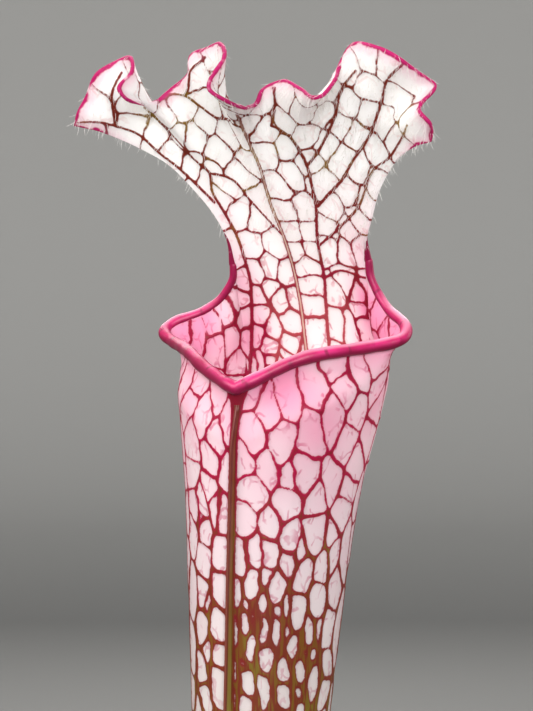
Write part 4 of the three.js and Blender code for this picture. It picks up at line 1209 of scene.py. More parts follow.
def rhizome():
    """A knobbly stem that lies half sunk in the soil, ringed by the scars of old leaves."""
    share = np.linspace(0, 1, RHIZOME_RINGS)
    path = rhizome_path(share)
    share = share[:, None]
    turn = full_turn(RHIZOME_SIDES)
    step = (share * OLD_LEAF_SCARS + 0.25 * np.sin(turn * 2 + 7 * share)) % 1
    scar = 0.9 * smooth_step(0.0, 0.12, step) * smooth_step(1.0, 0.25, step) - 0.35
    radius = RHIZOME_RADIUS * rhizome_radius(share) + scar * smooth_step(0.02, 0.1, share)
    section = np.stack([radius * np.cos(turn), RHIZOME_FLATNESS * radius * np.sin(turn)], -1)
    rings = rings_along(path, np.array([0.0, 0, 1]), section)
    outward = unit(rings - path[:, None])
    rough = 0.28 * wobble(rings, 5, 31)[..., :1] + 0.14 * wobble(rings, 1.9, 32)[..., :1]
    body = Body(("step",))
    lofted(body, rings + outward * rough, step=step)
    return body.finish("rhizome_bark")


STALKS = [  # where each leaf leaves the crown: x, y and the radius of its stalk
    (0, 0, 5.0), (YOUNG["x"], YOUNG["y"], 2.7),
    *((leaf["x"], leaf["y"], 0.4 * leaf["width"]) for leaf in SWORD_LEAVES),
]
SCALES_PER_STALK, SCALE_ROWS, SCALE_COLUMNS = 3, 26, 17
SCALE_THICKNESS = 0.35


def crown_scales():
    """Papery brown scales that wrap the foot of each leaf."""
    body = Body(("along",))
    random = np.random.default_rng(17)
    up = np.linspace(0, 1, SCALE_ROWS)
    up, around = np.meshgrid(up, np.linspace(-1, 1, SCALE_COLUMNS), indexing="ij")
    for x, y, stalk in STALKS:
        base = np.array([CROWN[0] + x, CROWN[1] + y, CROWN[2] + 1.0])
        for k in range(SCALES_PER_STALK):
            heading = random.uniform(0, 2 * math.pi) + k * 2.1
            height = random.uniform(9, 15) * (0.7 + stalk / 9)
            spread = random.uniform(0.9, 1.3)
            width = spread * np.sqrt(np.clip(1.02 - up**1.6, 0, 1))
            angle = heading + around * width + 0.15 * np.sin(up * 4)
            fold = 0.35 * around**2 * up + 0.2 * np.sin(around * 9) * up
            reach = stalk + 0.9 + 0.5 * k + 1.3 * up**2 + fold
            rise = height * up - 0.8 * (1 - up)
            faces, rims = [], []
            for out in (reach + SCALE_THICKNESS, reach):
                place = base + np.stack([np.cos(angle) * out, np.sin(angle) * out, rise], -1)
                n = body.add(place, along=up)
                faces.append(n)
                rims.append(np.concatenate([n[0, :-1], n[:-1, -1], n[-1, :0:-1], n[:0:-1, 0]]))
            body.quads(grid_faces(faces[0], flip=True))
            body.quads(grid_faces(faces[1]))
            body.quads(grid_faces(np.stack(rims[::-1]), closed=True))
    return body.finish("crown_scales")


# ---- the pot and its soil ----

COLLAR_Z = POT_HEIGHT - POT_COLLAR_HEIGHT
POT_SIDES, DRAIN_HOLE_SIDES, SOIL_SIDES = 240, 40, 260
SUNK_RINGS, TOP_RINGS = 24, 100
SOIL_EDGE_DROP = 3  # how much lower the soil is at the pot's wall


def pot_radius_at(z):
    return mix(POT_BASE_RADIUS, POT_RIM_RADIUS - 4.6, z / COLLAR_Z)


def rounded_corners(profile, radius, steps=5):
    """The profile's points, with each inner corner turned into a short arc."""
    points = [np.array(point, float) for point in profile]
    result = [points[0]]
    for before, corner, after in zip(points, points[1:], points[2:]):
        shorter = min(np.linalg.norm(before - corner), np.linalg.norm(after - corner))
        arm = min(radius, shorter * 0.45)
        start, end = corner + unit(before - corner) * arm, corner + unit(after - corner) * arm
        for t in np.linspace(0, 1, steps):
            result.append(start * (1 - t) ** 2 + corner * 2 * t * (1 - t) + end * t**2)
    result.append(points[-1])
    return np.array(result)


def pot():
    """A turned wall with a collar, and a floor with a ring of drainage holes."""
    rim, wall, neck = POT_RIM_RADIUS, POT_WALL, pot_radius_at(COLLAR_Z)
    outside = [
        (0, 0), (POT_BASE_RADIUS - 1.5, 0), (POT_BASE_RADIUS, 1.5), (neck, COLLAR_Z),
        (rim - 1.6, COLLAR_Z + 0.8), (rim, POT_HEIGHT - 1.2), (rim - 0.8, POT_HEIGHT),
    ]
    inside = [
        (rim - wall, POT_HEIGHT), (rim - wall - 1.8, COLLAR_Z + 2.6), (neck - wall, COLLAR_Z),
        (pot_radius_at(POT_FLOOR) - wall, POT_FLOOR), (0, POT_FLOOR),
    ]
    profile = rounded_corners(outside + inside, 1.0)
    body = Body()
    ends = [(0, 0, profile[0, 1]), (0, 0, profile[-1, 1])]
    lofted(body, turned_rings(profile[1:-1], POT_SIDES), ends)
    piece = body.finish("pot_wall")
    drills = Body()
    side = np.array([[DRAIN_HOLE_RADIUS, -5.0], [DRAIN_HOLE_RADIUS, 5.0]])
    for k in range(DRAIN_HOLES):
        angle = 2 * math.pi * k / DRAIN_HOLES
        middle = DRAIN_CIRCLE_RADIUS * np.array([math.cos(angle), math.sin(angle), 0])
        lofted(drills, turned_rings(side, DRAIN_HOLE_SIDES) + middle)
    drill = drills.finish("drills")
    cut = piece.modifiers.new("holes", "BOOLEAN")
    cut.operation = "DIFFERENCE"
    cut.solver = "EXACT"
    cut.object = drill
    piece.data = made_mesh(piece)
    piece.data.set_sharp_from_angle(angle=math.radians(40))
    bpy.data.objects.remove(drill)
    return piece


def made_mesh(piece):
    """The mesh that a piece has once its modifiers have run; they are taken off it."""
    graph = bpy.context.evaluated_depsgraph_get()
    mesh = bpy.data.meshes.new_from_object(piece.evaluated_get(graph), depsgraph=graph)
    piece.modifiers.clear()
    return mesh


def soil_lump(x, y):
    return SOIL_LUMP * (np.sin(x * 0.17 + 1) * np.cos(y * 0.21) + 0.5 * np.sin(x * 0.41 - y * 0.33))


def soil():
    """Damp peat, crumbly on top, with the places where moss has taken hold."""
    gap = FIT_GAP + 0.2
    turn = full_turn(SOIL_SIDES)
    edge_z = SOIL_TOP - SOIL_EDGE_DROP
    sunk = np.linspace(POT_FLOOR + FIT_GAP, edge_z, SUNK_RINGS)
    top_radius = pot_radius_at(edge_z) - POT_WALL - gap
    shares = np.concatenate([[0.995, 0.985], np.linspace(0.97, 0.01, TOP_RINGS)])
    radius = np.concatenate([pot_radius_at(sunk) - POT_WALL - gap, top_radius * shares])
    x, y = radius[:, None] * np.cos(turn), radius[:, None] * np.sin(turn)
    flat = np.stack([x, y, 0 * x], -1)
    rough = 0.55 * wobble(flat, 7, 51)[..., 0] + 0.3 * wobble(flat, 2.6, 52)[..., 0]
    top = SOIL_TOP + soil_lump(x, y) + np.clip(rough, -1.2, 0.9)
    z = mix(top, edge_z, smooth_step(0.97, 1.0, radius / top_radius)[:, None])
    z[: len(sunk)] = sunk[:, None]
    rings = np.stack([x, y, z], -1)
    spine = rhizome_path(np.linspace(0, 1, 60))
    away = np.linalg.norm(rings[:, :, None, :2] - spine[None, None, :, :2], axis=-1).min(-1)
    bare = smooth_step(9, 13, away) * smooth_step(edge_z + 0.5, edge_z + 1.5, z)
    moss = bare * smooth_step(0.1, 0.55, wobble(flat, 42, 53)[..., 0])
    body = Body(("open_ground", "mossy"))
    lofted(body, rings, open_ground=bare, mossy=moss)
    return body.finish("soil_bed")


# ---- trees of nodes ----


class Value:
    """What a node of a tree gives; +, - and * make a further node from it."""

    def __init__(self, tree, socket):
        self.tree, self.socket = tree, socket

    def __add__(self, other):
        return self.tree.math("ADD", self, other)

    def __sub__(self, other):
        return self.tree.math("SUBTRACT", self, other)

    def __mul__(self, other):
        return self.tree.math("MULTIPLY", self, other)


class NodeTree:
    """A tree of nodes, with a short way to add one."""

    def __init__(self, tree):
        self.nodes, self.links = tree.nodes, tree.links

    def put(self, socket, value):
        """Feeds an input with what another node gives, a colour or a number."""
        if isinstance(value, Value):
            value = value.socket
        if isinstance(value, bpy.types.NodeSocket):
            self.links.new(value, socket)
        elif isinstance(value, tuple) and socket.type == "RGBA":
            socket.default_value = (*value, 1)
        else:
            socket.default_value = value

    def node(self, kind, inputs, output=0, **settings):
        """One output of a new node; its inputs and that output are given by name or number."""
        node = self.nodes.new(kind)
        for key, value in settings.items():
            setattr(node, key, value)
        for key, value in inputs.items():
            self.put(node.inputs[key], value)
        return Value(self, node.outputs[output])

    def math(self, kind, *values):
        return self.node("ShaderNodeMath", dict(enumerate(values)), operation=kind)

    def vector(self, kind, inputs, output=0):
        return self.node("ShaderNodeVectorMath", inputs, output, operation=kind)


# ---- small things that are strewn over a piece ----


def pebble(name, stretch, seed, detail=2):
    """An uneven lump about one millimetre across."""
    mesh = bpy.data.meshes.new(name)
    sphere = bmesh.new()
    bmesh.ops.create_icosphere(sphere, subdivisions=detail, radius=0.5)
    sphere.to_mesh(mesh)
    sphere.free()
    points = np.array([vertex.co for vertex in mesh.vertices])
    points = points * (1 + 0.2 * wobble(points, 0.7, seed)) * np.array(stretch)
    mesh.vertices.foreach_set("co", (points * MM).reshape(-1))
    return bpy.data.objects.new(name, mesh)


def shape_to_strew(body, name):
    """An object that isn't itself in the scene."""
    shape = body.finish(name)
    bpy.context.scene.collection.objects.unlink(shape)
    return shape


def hair_shape():
    """A tapering hair one millimetre long that bends a little."""
    up = np.array([[0], [0.4], [0.75], [1.0]])
    thick = np.array([[0.024], [0.02], [0.014], [0.003]])
    turn = full_turn(3)
    x = thick * np.cos(turn) + 0.22 * up**2
    body = Body()
    lofted(body, np.stack([x, thick * np.sin(turn), np.repeat(up, 3, 1)], -1))
    return shape_to_strew(body, "hair")


def moss_shape():
    """A sprig of moss, a star of narrow leaves on a short stem, about a millimetre across."""
    body = Body()
    random = np.random.default_rng(9)
    for k in range(MOSS_LEAVES):
        turn = 2.4 * k
        lift = 0.15 + 0.75 * k / MOSS_LEAVES
        root = np.array([0, 0, 0.1 + 0.03 * k])
        out = np.array([math.cos(turn) * (1 - lift * 0.6), math.sin(turn) * (1 - lift * 0.6), lift])
        tip = root + unit(out) * random.uniform(0.45, 0.7)
        side = unit(np.cross(out, [0, 0, 1.0])) * 0.09
        over = unit(np.cross(side, out)) * 0.04
        middle = mix(root, tip, 0.45)
        waist = np.stack([middle + side, middle + over, middle - side, middle - over])
        ids = body.add(np.concatenate([root[None], waist, tip[None]]))
        for a, b in ((1, 2), (2, 3), (3, 4), (4, 1)):
            body.faces.append([ids[0], ids[b], ids[a]])
            body.faces.append([ids[5], ids[a], ids[b]])
    return shape_to_strew(body, "sprig")


MOSS_LEAVES = 15
# pieces per square metre, their least and greatest size in millimetres, how far they droop, how far
# they lean at random, the number on the host's points that says where they are, and the seed
HAIRS = (1.1e6, 1.0, 2.6, 1.1, 0.35, "hairy", 3)
CRUMBS = (1.6e5, 0.8, 3.4, 0.0, 3.0, "open_ground", 4)
GRAINS = (1.3e4, 1.6, 4.2, 0.0, 3.0, "open_ground", 5)
MOSS = (3.2e5, 2.2, 4.2, -0.4, 0.5, "mossy", 6)
SIZE_SEED = 5


class Strewer(NodeTree):
    """Strews copies of a small shape over a piece's faces; its tree of nodes is built once."""

    INPUTS = {
        "Shape": "NodeSocketObject",
        "Material": "NodeSocketMaterial",
        "Per square metre": "NodeSocketFloat",
        "Least size": "NodeSocketFloat",
        "Greatest size": "NodeSocketFloat",
        "Droop": "NodeSocketFloat",
        "Disorder": "NodeSocketFloat",
        "Where": "NodeSocketString",
        "Seed": "NodeSocketInt",
    }

    def __init__(self):
        self.group = bpy.data.node_groups.new("strew", "GeometryNodeTree")
        super().__init__(self.group)
        for way in ("INPUT", "OUTPUT"):
            self.group.interface.new_socket("Geometry", in_out=way, socket_type="NodeSocketGeometry")
        self.names = []
        for name, kind in self.INPUTS.items():
            socket = self.group.interface.new_socket(name, in_out="INPUT", socket_type=kind)
            self.names.append(socket.identifier)
        given = self.nodes.new("NodeGroupInput").outputs
        seed = given["Seed"]
        number = {"Name": given["Where"]}
        where = self.node("GeometryNodeInputNamedAttribute", number, data_type="FLOAT")
        density = where * given["Per square metre"]
        spread = {"Mesh": given["Geometry"], "Density": density, "Seed": seed}
        points = self.node("GeometryNodeDistributePointsOnFaces", spread, "Points")
        normal = points.socket.node.outputs["Normal"]
        # each copy stands on its face, leans over at random or droops, and is turned about itself
        either = {0: (-1, -1, -1), 1: (1, 1, 1), "Seed": seed}
        random = self.node("FunctionNodeRandomValue", either, data_type="FLOAT_VECTOR")
        loose = self.vector("SCALE", {0: random, "Scale": given["Disorder"]})
        down = self.vector("SCALE", {0: (0, 0, -1), "Scale": given["Droop"]})
        aim = self.vector("ADD", {0: normal, 1: self.vector("ADD", {0: loose, 1: down})})
        stand = self.node("FunctionNodeAlignRotationToVector", {"Vector": aim}, axis="Z")
        whole = {3: 2 * math.pi, "Seed": seed}
        spin = self.node("FunctionNodeRandomValue", whole, 1, data_type="FLOAT")
        turn = self.node("ShaderNodeCombineXYZ", {"Z": spin})
        about = self.node("FunctionNodeEulerToRotation", {"Euler": turn})
        both = self.node("FunctionNodeRotateRotation", {0: stand, 1: about}, rotation_space="LOCAL")
        sizes = {2: given["Least size"], 3: given["Greatest size"], "Seed": SIZE_SEED}
        size = self.node("FunctionNodeRandomValue", sizes, 1, data_type="FLOAT")
        shape = self.node("GeometryNodeObjectInfo", {"Object": given["Shape"]}, "Geometry")
        copy = {"Points": points, "Instance": shape, "Rotation": both, "Scale": size}
        copies = self.node("GeometryNodeInstanceOnPoints", copy)
        real = self.node("GeometryNodeRealizeInstances", {"Geometry": copies})
        dress = {"Geometry": real, "Material": given["Material"]}
        dressed = self.node("GeometryNodeSetMaterial", dress)
        self.put(self.nodes.new("NodeGroupOutput").inputs["Geometry"], dressed)

    def strew(self, name, host, shape, finish, settings):
        modifier = host.modifiers.new("strew", "NODES")
        modifier.node_group = self.group
        for identifier, value in zip(self.names, (shape, finish.material, *settings)):
            modifier[identifier] = value
        mesh = made_mesh(host)
        mesh.name = name
        piece = bpy.data.objects.new(name, mesh)
        bpy.context.scene.collection.objects.link(piece)
        return piece


# ---- finishes ----


class Finish(NodeTree):
    """A material on one shader, with short ways to add to it."""

    def __init__(self, name, **plain):
        self.material = bpy.data.materials.new(name)
        self.material.use_nodes = True
        super().__init__(self.material.node_tree)
        self.nodes.clear()
        self.shader = self.nodes.new("ShaderNodeBsdfPrincipled")
        self.surface = self.nodes.new("ShaderNodeOutputMaterial").inputs["Surface"]
        self.put(self.surface, self.shader.outputs[0])
        self.place = self.nodes.new("ShaderNodeTexCoord").outputs["Object"]
        for key, value in plain.items():
            self.shader.inputs[key.replace("_", " ")].default_value = value

    def blend(self, share, first, second):
        return self.node("ShaderNodeMix", {0: share, 6: first, 7: second}, 2, data_type="RGBA")

    def step(self, value, low, high, to_low=0.0, to_high=1.0):
        inputs = {"Value": value, "From Min": low, "From Max": high, "To Min": to_low, "To Max": to_high}
        return self.node("ShaderNodeMapRange", inputs, interpolation_type="SMOOTHSTEP")

    def stretched(self, scale):
        """The place on the piece, scaled differently along each axis where a scale is given."""
        if scale is None:
            return self.place
        return self.node("ShaderNodeMapping", {"Vector": self.place, "Scale": scale})

    def noise(self, per_metre, detail=3.0, stretch=None, distortion=0.0):
        pattern = {"Scale": per_metre, "Detail": detail, "Distortion": distortion}
        return self.node("ShaderNodeTexNoise", {"Vector": self.stretched(stretch), **pattern}, "Fac")

    def cells(self, per_metre, feature="DISTANCE_TO_EDGE", stretch=None, shift=None):
        place = self.stretched(stretch)
        if shift is not None:
            place = self.vector("ADD", {0: place, 1: shift})
        pattern = {"Vector": place, "Scale": per_metre}
        return self.node("ShaderNodeTexVoronoi", pattern, "Distance", feature=feature)

    def attribute(self, name):
        return self.node("ShaderNodeAttribute", {}, "Fac", attribute_name=name)

    def height(self):
        """Millimetres above the middle of the mouth."""
        metres = self.node("ShaderNodeSeparateXYZ", {0: self.place}, "Z")
        return metres * (1 / MM) - float(MOUTH_CENTRE[2])

    def ramp(self, value, low, high, stops):
        """Colours at rising values between low and high."""
        node = self.nodes.new("ShaderNodeValToRGB")
        self.put(node.inputs[0], self.math("DIVIDE", value - float(low), float(high - low)))
        elements = node.color_ramp.elements
        while len(elements) > 1:
            elements.remove(elements[-1])
        for k, (at, colour) in enumerate(stops):
            position = (at - low) / (high - low)
            element = elements[0] if k == 0 else elements.new(position)
            element.position = position
            element.color = (*colour, 1)
        return Value(self, node.outputs[0])

    def bump(self, height, millimetres, strength=1.0):
        """Unevenness on top of what the surface has already."""
        normal = self.shader.inputs["Normal"]
        inputs = {"Distance": millimetres * MM, "Strength": strength, "Height": height}
        if normal.is_linked:
            inputs["Normal"] = normal.links[0].from_socket
        self.put(normal, self.node("ShaderNodeBump", inputs))

    def colour(self, value):
        self.put(self.shader.inputs["Base Color"], value)

    def thin(self, share):
        """Light shines through the skin from behind."""
        colour = self.shader.inputs["Base Color"].links[0].from_socket
        glow = self.node("ShaderNodeBsdfTranslucent", {"Color": colour})
        both = {0: share, 1: self.shader.outputs[0], 2: glow}
        self.put(self.surface, self.node("ShaderNodeMixShader", both))

    def on(self, piece):
        piece.data.materials.clear()
        piece.data.materials.append(self.material)


def pitcher_skin_finish():
    finish = Finish("pitcher_skin", Roughness=0.45, Specular_IOR_Level=0.25)
    gap, rim, cell = finish.attribute("vein"), finish.attribute("rim"), finish.attribute("cell")
    midrib, blush, height = finish.attribute("midrib"), finish.attribute("blush"), finish.height()
    ragged = (finish.noise(1100, 2) - 0.5) * 0.34
    gap = gap + ragged
    vein = finish.step(gap, 0.10, -0.10)
    deep = finish.step(gap, -0.10, -0.48)

    drift = (finish.noise(70, 2) - 0.5) * 26
    level = height + drift
    window = finish.ramp(level, -160, 60, [
        (-160, (0.44, 0.52, 0.24)), (-125, (0.70, 0.70, 0.52)), (-95, (0.82, 0.77, 0.71)),
        (-60, (0.85, 0.80, 0.78)), (-30, (0.89, 0.84, 0.84)), (20, (0.93, 0.91, 0.89)),
        (45, (0.96, 0.955, 0.94)),
    ])
    window = finish.blend(finish.step(cell, 0.45, 1.0, 0.0, 0.2), window, (0.96, 0.94, 0.93))
    window = finish.blend(blush, window, (0.90, 0.36, 0.54))

    edge = finish.ramp(level, -190, 60, [
        (-190, (0.14, 0.21, 0.04)), (-140, (0.20, 0.16, 0.03)), (-95, (0.24, 0.045, 0.02)),
        (-55, (0.29, 0.018, 0.025)), (-20, (0.48, 0.006, 0.07)), (20, (0.34, 0.008, 0.045)),
        (50, (0.20, 0.026, 0.014)),
    ])
    core = finish.ramp(level, -330, 60, [
        (-330, (0.17, 0.27, 0.05)), (-150, (0.20, 0.27, 0.045)), (-105, (0.24, 0.21, 0.03)),
        (-65, (0.24, 0.10, 0.015)), (-40, (0.24, 0.045, 0.02)), (0, (0.26, 0.008, 0.03)),
        (60, (0.14, 0.022, 0.010)),
    ])
    olive = finish.step(finish.noise(120, 3), 0.54, 0.68) * finish.step(height, 24, 40)
    bands = finish.step(finish.noise(190, 2, stretch=(1, 1, 0.2)), 0.54, 0.68, 0.0, 0.75)
    low_olive = bands * finish.step(height, -15, -45)
    stroke = finish.blend(deep, edge, core)
    stroke = finish.blend(olive * 0.55, stroke, (0.28, 0.22, 0.03))
    stroke = finish.blend(low_olive * deep, stroke, (0.235, 0.175, 0.022))
    # paler veins low in the middle of the mouth's back wall
    unflushed = finish.step(blush, 0.3, 0.1) * finish.step(height, -12, -2)
    unflushed = unflushed * finish.step(height, 28, 12, 0.0, 0.4)
    stroke = finish.blend(unflushed, stroke, (0.64, 0.17, 0.16))
    # fine pink threads that end inside the cells
    wander = finish.node("ShaderNodeTexNoise", {"Vector": finish.place, "Scale": 400}, "Color")
    shift = finish.vector("SCALE", {0: wander, "Scale": 0.0012})
    thread = finish.step(finish.cells(290, stretch=(1, 1, 0.6), shift=shift), 0.075, 0.03)
    thread = thread * finish.step(finish.noise(330, 1), 0.5, 0.6)
    thread = thread * finish.step(gap, 2.4, 0.4, 0.1, 0.6)
    thread = thread * finish.step(height, 45, 20, 0.45, 1.0)
    thread = thread * finish.step(height, -95, -60)
    pink = finish.ramp(level, -60, 60, [
        (-60, (0.62, 0.22, 0.30)), (0, (0.62, 0.05, 0.20)), (60, (0.62, 0.25, 0.22)),
    ])
    window = finish.blend(thread, window, pink)
    glow = finish.step(gap, 0.7, 0.0, 0.0, 0.4) * finish.step(height, 60, -20, 0.25, 1.0)
    window = finish.blend(glow, window, finish.blend(0.4, window, edge))

    streak = finish.step(finish.noise(1300, 2, stretch=(1, 1, 0.045)), 0.46, 0.58, 0.0, 0.85)
    streak = streak * finish.step(height, -20, -50)
    stroke = finish.blend(streak, stroke, (0.23, 0.028, 0.018))
    colour = finish.blend(vein, window, stroke)
    ridge = finish.step(midrib, 0.34, 0.14) * finish.step(height, 70, 20, 0.2, 0.85)
    colour = finish.blend(ridge, colour, (0.78, 0.62, 0.50))
    fringe = rim + (finish.noise(300, 2) - 0.5) * 2.6
    colour = finish.blend(finish.step(fringe, 4.0, 0.5, 0.0, 0.25), colour, (0.86, 0.25, 0.45))
    colour = finish.blend(finish.step(fringe, 0.9, 0.25), colour, (0.54, 0.018, 0.16))
    finish.colour(colour)
    finish.bump(finish.noise(900, 3, stretch=(1, 1, 0.35)), 0.12, 0.5)
    finish.thin(0.45)
    return finish


def lip_finish():
    """Glossy crimson, with painted shade under the roll and a painted highlight on top of it; light
    scatters inside.
    """
    finish = Finish(
        "rolled_lip",
        Roughness=0.42,
        Specular_IOR_Level=0.35,
        Subsurface_Weight=0.12,
        Subsurface_Radius=(1.0, 0.6, 0.5),
        Subsurface_Scale=0.8 * MM,
    )
    along, below = finish.attribute("along"), finish.attribute("below")
    mottle = finish.step(finish.noise(170, 3), 0.35, 0.7)
    base = finish.blend(mottle, (0.38, 0.004, 0.075), (0.56, 0.014, 0.14))
    base = finish.blend(finish.step(finish.height(), 6, 30, 0.0, 0.6), base, (0.26, 0.005, 0.06))
    wave = finish.math("SINE", along * 0.95 + finish.noise(90, 2) * 9)
    mark = finish.step(wave, 0.8, 1.0) * finish.step(finish.noise(300, 2), 0.42, 0.6)
    base = finish.blend(mark * 0.85, base, (0.2, 0.004, 0.045))
    # painted shade: darker on the roll's underside and on its shaded left front
    base = finish.blend(finish.step(below, -0.4, 0.6, 0.0, 0.92), base, (0.17, 0.001, 0.028))
    # painted highlight: paler pink along the roll's top
    base = finish.blend(finish.step(below, -0.4, -0.95, 0.0, 0.5), base, (0.90, 0.42, 0.55))
    finish.colour(base)
    finish.bump(finish.noise(700, 3), 0.1, 0.5)
    return finish


def keel_finish():
    finish = Finish("keel", Roughness=0.45)
    height, crest = finish.height(), finish.attribute("crest")
    line = finish.ramp(height, -332, 0, [
        (-332, (0.18, 0.25, 0.05)), (-150, (0.20, 0.12, 0.03)), (-90, (0.15, 0.028, 0.012)),
        (0, (0.13, 0.014, 0.008)),
    ])
    side = finish.ramp(height, -332, 0, [
        (-332, (0.18, 0.30, 0.06)), (-80, (0.24, 0.20, 0.035)), (-35, (0.20, 0.075, 0.018)),
        (0, (0.19, 0.028, 0.014)),
    ])
    streak = finish.noise(500, 2, stretch=(1, 1, 0.08))
    side = finish.blend(finish.step(streak, 0.4, 0.7, 0.0, 0.5), side, (0.20, 0.06, 0.03))
    finish.colour(finish.blend(finish.step(crest, 1.0, 0.55), side, line))
    finish.bump(streak, 0.1, 0.6)
    return finish


def hair_finish():
    finish = Finish("hair", Roughness=0.6)
    finish.colour(finish.blend(finish.noise(300, 2), (0.88, 0.86, 0.82), (0.98, 0.97, 0.95)))
    finish.thin(0.4)
    return finish


def green_leaf_finish():
    """Living green with fine lines along the leaf, a reddish foot and a dry brown tip."""
    finish = Finish("green_leaf", Roughness=0.4, Specular_IOR_Level=0.4)
    along, across = finish.attribute("along"), finish.attribute("across")
    patches = finish.step(finish.noise(60, 3), 0.3, 0.7)
    green = finish.blend(patches, (0.13, 0.24, 0.045), (0.22, 0.33, 0.06))
    ripple = finish.math("SINE", across * 58)
    green = finish.blend(finish.step(ripple, 0.1, 1.0, 0.0, 0.35), green, (0.08, 0.16, 0.03))
    middle = finish.math("ABSOLUTE", across)
    green = finish.blend(finish.step(middle, 0.10, 0.03, 0.0, 0.5), green, (0.34, 0.42, 0.14))
    edge = finish.step(middle, 0.86, 0.98) * finish.step(finish.noise(120, 2), 0.45, 0.6)
    green = finish.blend(edge * 0.6, green, (0.3, 0.07, 0.05))
    ragged = along + finish.noise(180, 3) * 0.07
    green = finish.blend(finish.step(ragged, 0.16, 0.06), green, (0.30, 0.09, 0.06))
    green = finish.blend(finish.step(ragged, 0.965, 1.02), green, (0.24, 0.12, 0.05))
    spots = finish.step(finish.noise(420, 2), 0.68, 0.74) * 0.7
    finish.colour(finish.blend(spots, green, (0.17, 0.10, 0.03)))
    finish.bump(ripple, 0.05, 0.5)
    finish.bump(finish.noise(600, 3, stretch=(1, 1, 0.15)), 0.08, 0.5)
    finish.thin(0.25)
    return finish


def young_pitcher_finish():
    """Green below and flushed with a red net towards the tip."""
    finish = Finish("young_pitcher", Roughness=0.42, Specular_IOR_Level=0.4)
    along = finish.attribute("along")
    patches = finish.step(finish.noise(70, 3), 0.3, 0.7)
    green = finish.blend(patches, (0.16, 0.27, 0.05), (0.26, 0.36, 0.09))
    pale = finish.blend(finish.step(along, 0.62, 0.95), green, (0.62, 0.60, 0.40))
    net = finish.step(finish.cells(210, stretch=(1, 1, 0.4)), 0.16, 0.05)
    net = net * finish.step(along, 0.5, 0.85)
    colour = finish.blend(net, pale, (0.30, 0.03, 0.04))
    lines = finish.step(finish.noise(500, 2, stretch=(1, 1, 0.05)), 0.5, 0.68, 0.0, 0.5)
    colour = finish.blend(lines, colour, (0.24, 0.12, 0.05))
    finish.colour(finish.blend(finish.step(along, 0.1, 0.02), colour, (0.28, 0.08, 0.06)))
    finish.bump(finish.noise(500, 3, stretch=(1, 1, 0.12)), 0.1, 0.6)
    finish.thin(0.15)
    return finish


def bark_finish():
    finish = Finish("rhizome_bark", Roughness=0.72)
    step = finish.attribute("step")
    mottle = finish.step(finish.noise(260, 4), 0.3, 0.7)
    brown = finish.blend(mottle, (0.075, 0.038, 0.022), (0.21, 0.125, 0.075))
    brown = finish.blend(finish.step(step, 0.14, 0.0), brown, (0.035, 0.018, 0.012))
    red = finish.step(finish.noise(90, 2), 0.5, 0.65) * 0.5
    brown = finish.blend(red, brown, (0.22, 0.055, 0.04))
    fibre = finish.noise(900, 4, stretch=(0.35, 0.35, 1))
    finish.colour(finish.blend(finish.step(fibre, 0.6, 0.75, 0.0, 0.5), brown, (0.34, 0.25, 0.17)))
    finish.bump(fibre, 0.35, 0.9)
    return finish


def scale_finish():
    finish = Finish("crown_scale", Roughness=0.6)
    along = finish.attribute("along")
    fibre = finish.noise(1300, 3, stretch=(1, 1, 0.1))
    base = finish.blend(finish.step(along, 0.1, 0.9), (0.34, 0.13, 0.075), (0.44, 0.29, 0.17))
    finish.colour(finish.blend(finish.step(fibre, 0.42, 0.7, 0.0, 0.7), base, (0.16, 0.07, 0.04)))
    finish.bump(fibre, 0.15, 0.8)
    finish.thin(0.3)
    return finish


def peat_finish():
    finish = Finish("peat", Roughness=0.9)
    crumbs = finish.noise(700, 5)
    pale = finish.step(crumbs, 0.35, 0.7)
    brown = finish.blend(pale, (0.022, 0.013, 0.009), (0.085, 0.052, 0.033))
    fibre = finish.step(finish.noise(1500, 2, stretch=(1, 0.12, 1), distortion=0.8), 0.62, 0.7)
    finish.colour(finish.blend(fibre * 0.6, brown, (0.17, 0.105, 0.06)))
    finish.bump(crumbs, 0.8, 1.0)
    return finish


def perlite_finish():
    finish = Finish("perlite", Roughness=0.85)
    dirt = finish.step(finish.noise(420, 4), 0.45, 0.7, 0.0, 0.7)
    finish.colour(finish.blend(dirt, (0.74, 0.72, 0.68), (0.38, 0.31, 0.23)))
    finish.bump(finish.cells(2600, "F1"), 0.15, 0.8)
    return finish


def moss_finish():
    finish = Finish("moss", Roughness=0.6)
    patches = finish.step(finish.noise(130, 3), 0.35, 0.65)
    green = finish.blend(patches, (0.075, 0.15, 0.018), (0.24, 0.33, 0.05))
    dry = finish.step(finish.noise(500, 1), 0.6, 0.75, 0.0, 0.6)
    finish.colour(finish.blend(dry, green, (0.35, 0.33, 0.12)))
    finish.thin(0.25)
    return finish


def pot_finish():
    """Plain dark plastic, scuffed, with dust from the soil and a chalky line under the rim."""
    finish = Finish("pot_plastic", Roughness=0.5)
    fog = finish.noise(28, 4)
    grey = finish.blend(finish.step(fog, 0.3, 0.7), (0.040, 0.042, 0.045), (0.062, 0.064, 0.067))
    height = finish.height()
    scuff = finish.noise(140, 3, stretch=(1, 1, 0.08), distortion=0.4)
    marks = finish.step(scuff, 0.66, 0.74, 0.0, 0.5)
    grey = finish.blend(marks, grey, (0.16, 0.16, 0.155))
    dust = finish.step(height, -400, -438) * finish.step(finish.noise(200, 4), 0.4, 0.7)
    grey = finish.blend(dust * 0.5, grey, (0.17, 0.13, 0.095))
    level = height + finish.noise(90, 3) * 5
    chalk = finish.step(level, -331, -328.5) * finish.step(level, -323, -327)
    chalk = chalk * finish.step(finish.noise(260, 3), 0.42, 0.6, 0.0, 0.35)
    finish.colour(finish.blend(chalk, grey, (0.42, 0.40, 0.36)))
    rough = finish.step(scuff, 0.3, 0.75, 0.42, 0.66)
    finish.put(finish.shader.inputs["Roughness"], rough)
    finish.bump(finish.noise(2400, 2), 0.03, 0.6)
    finish.bump(scuff, 0.05, 0.4)
    return finish
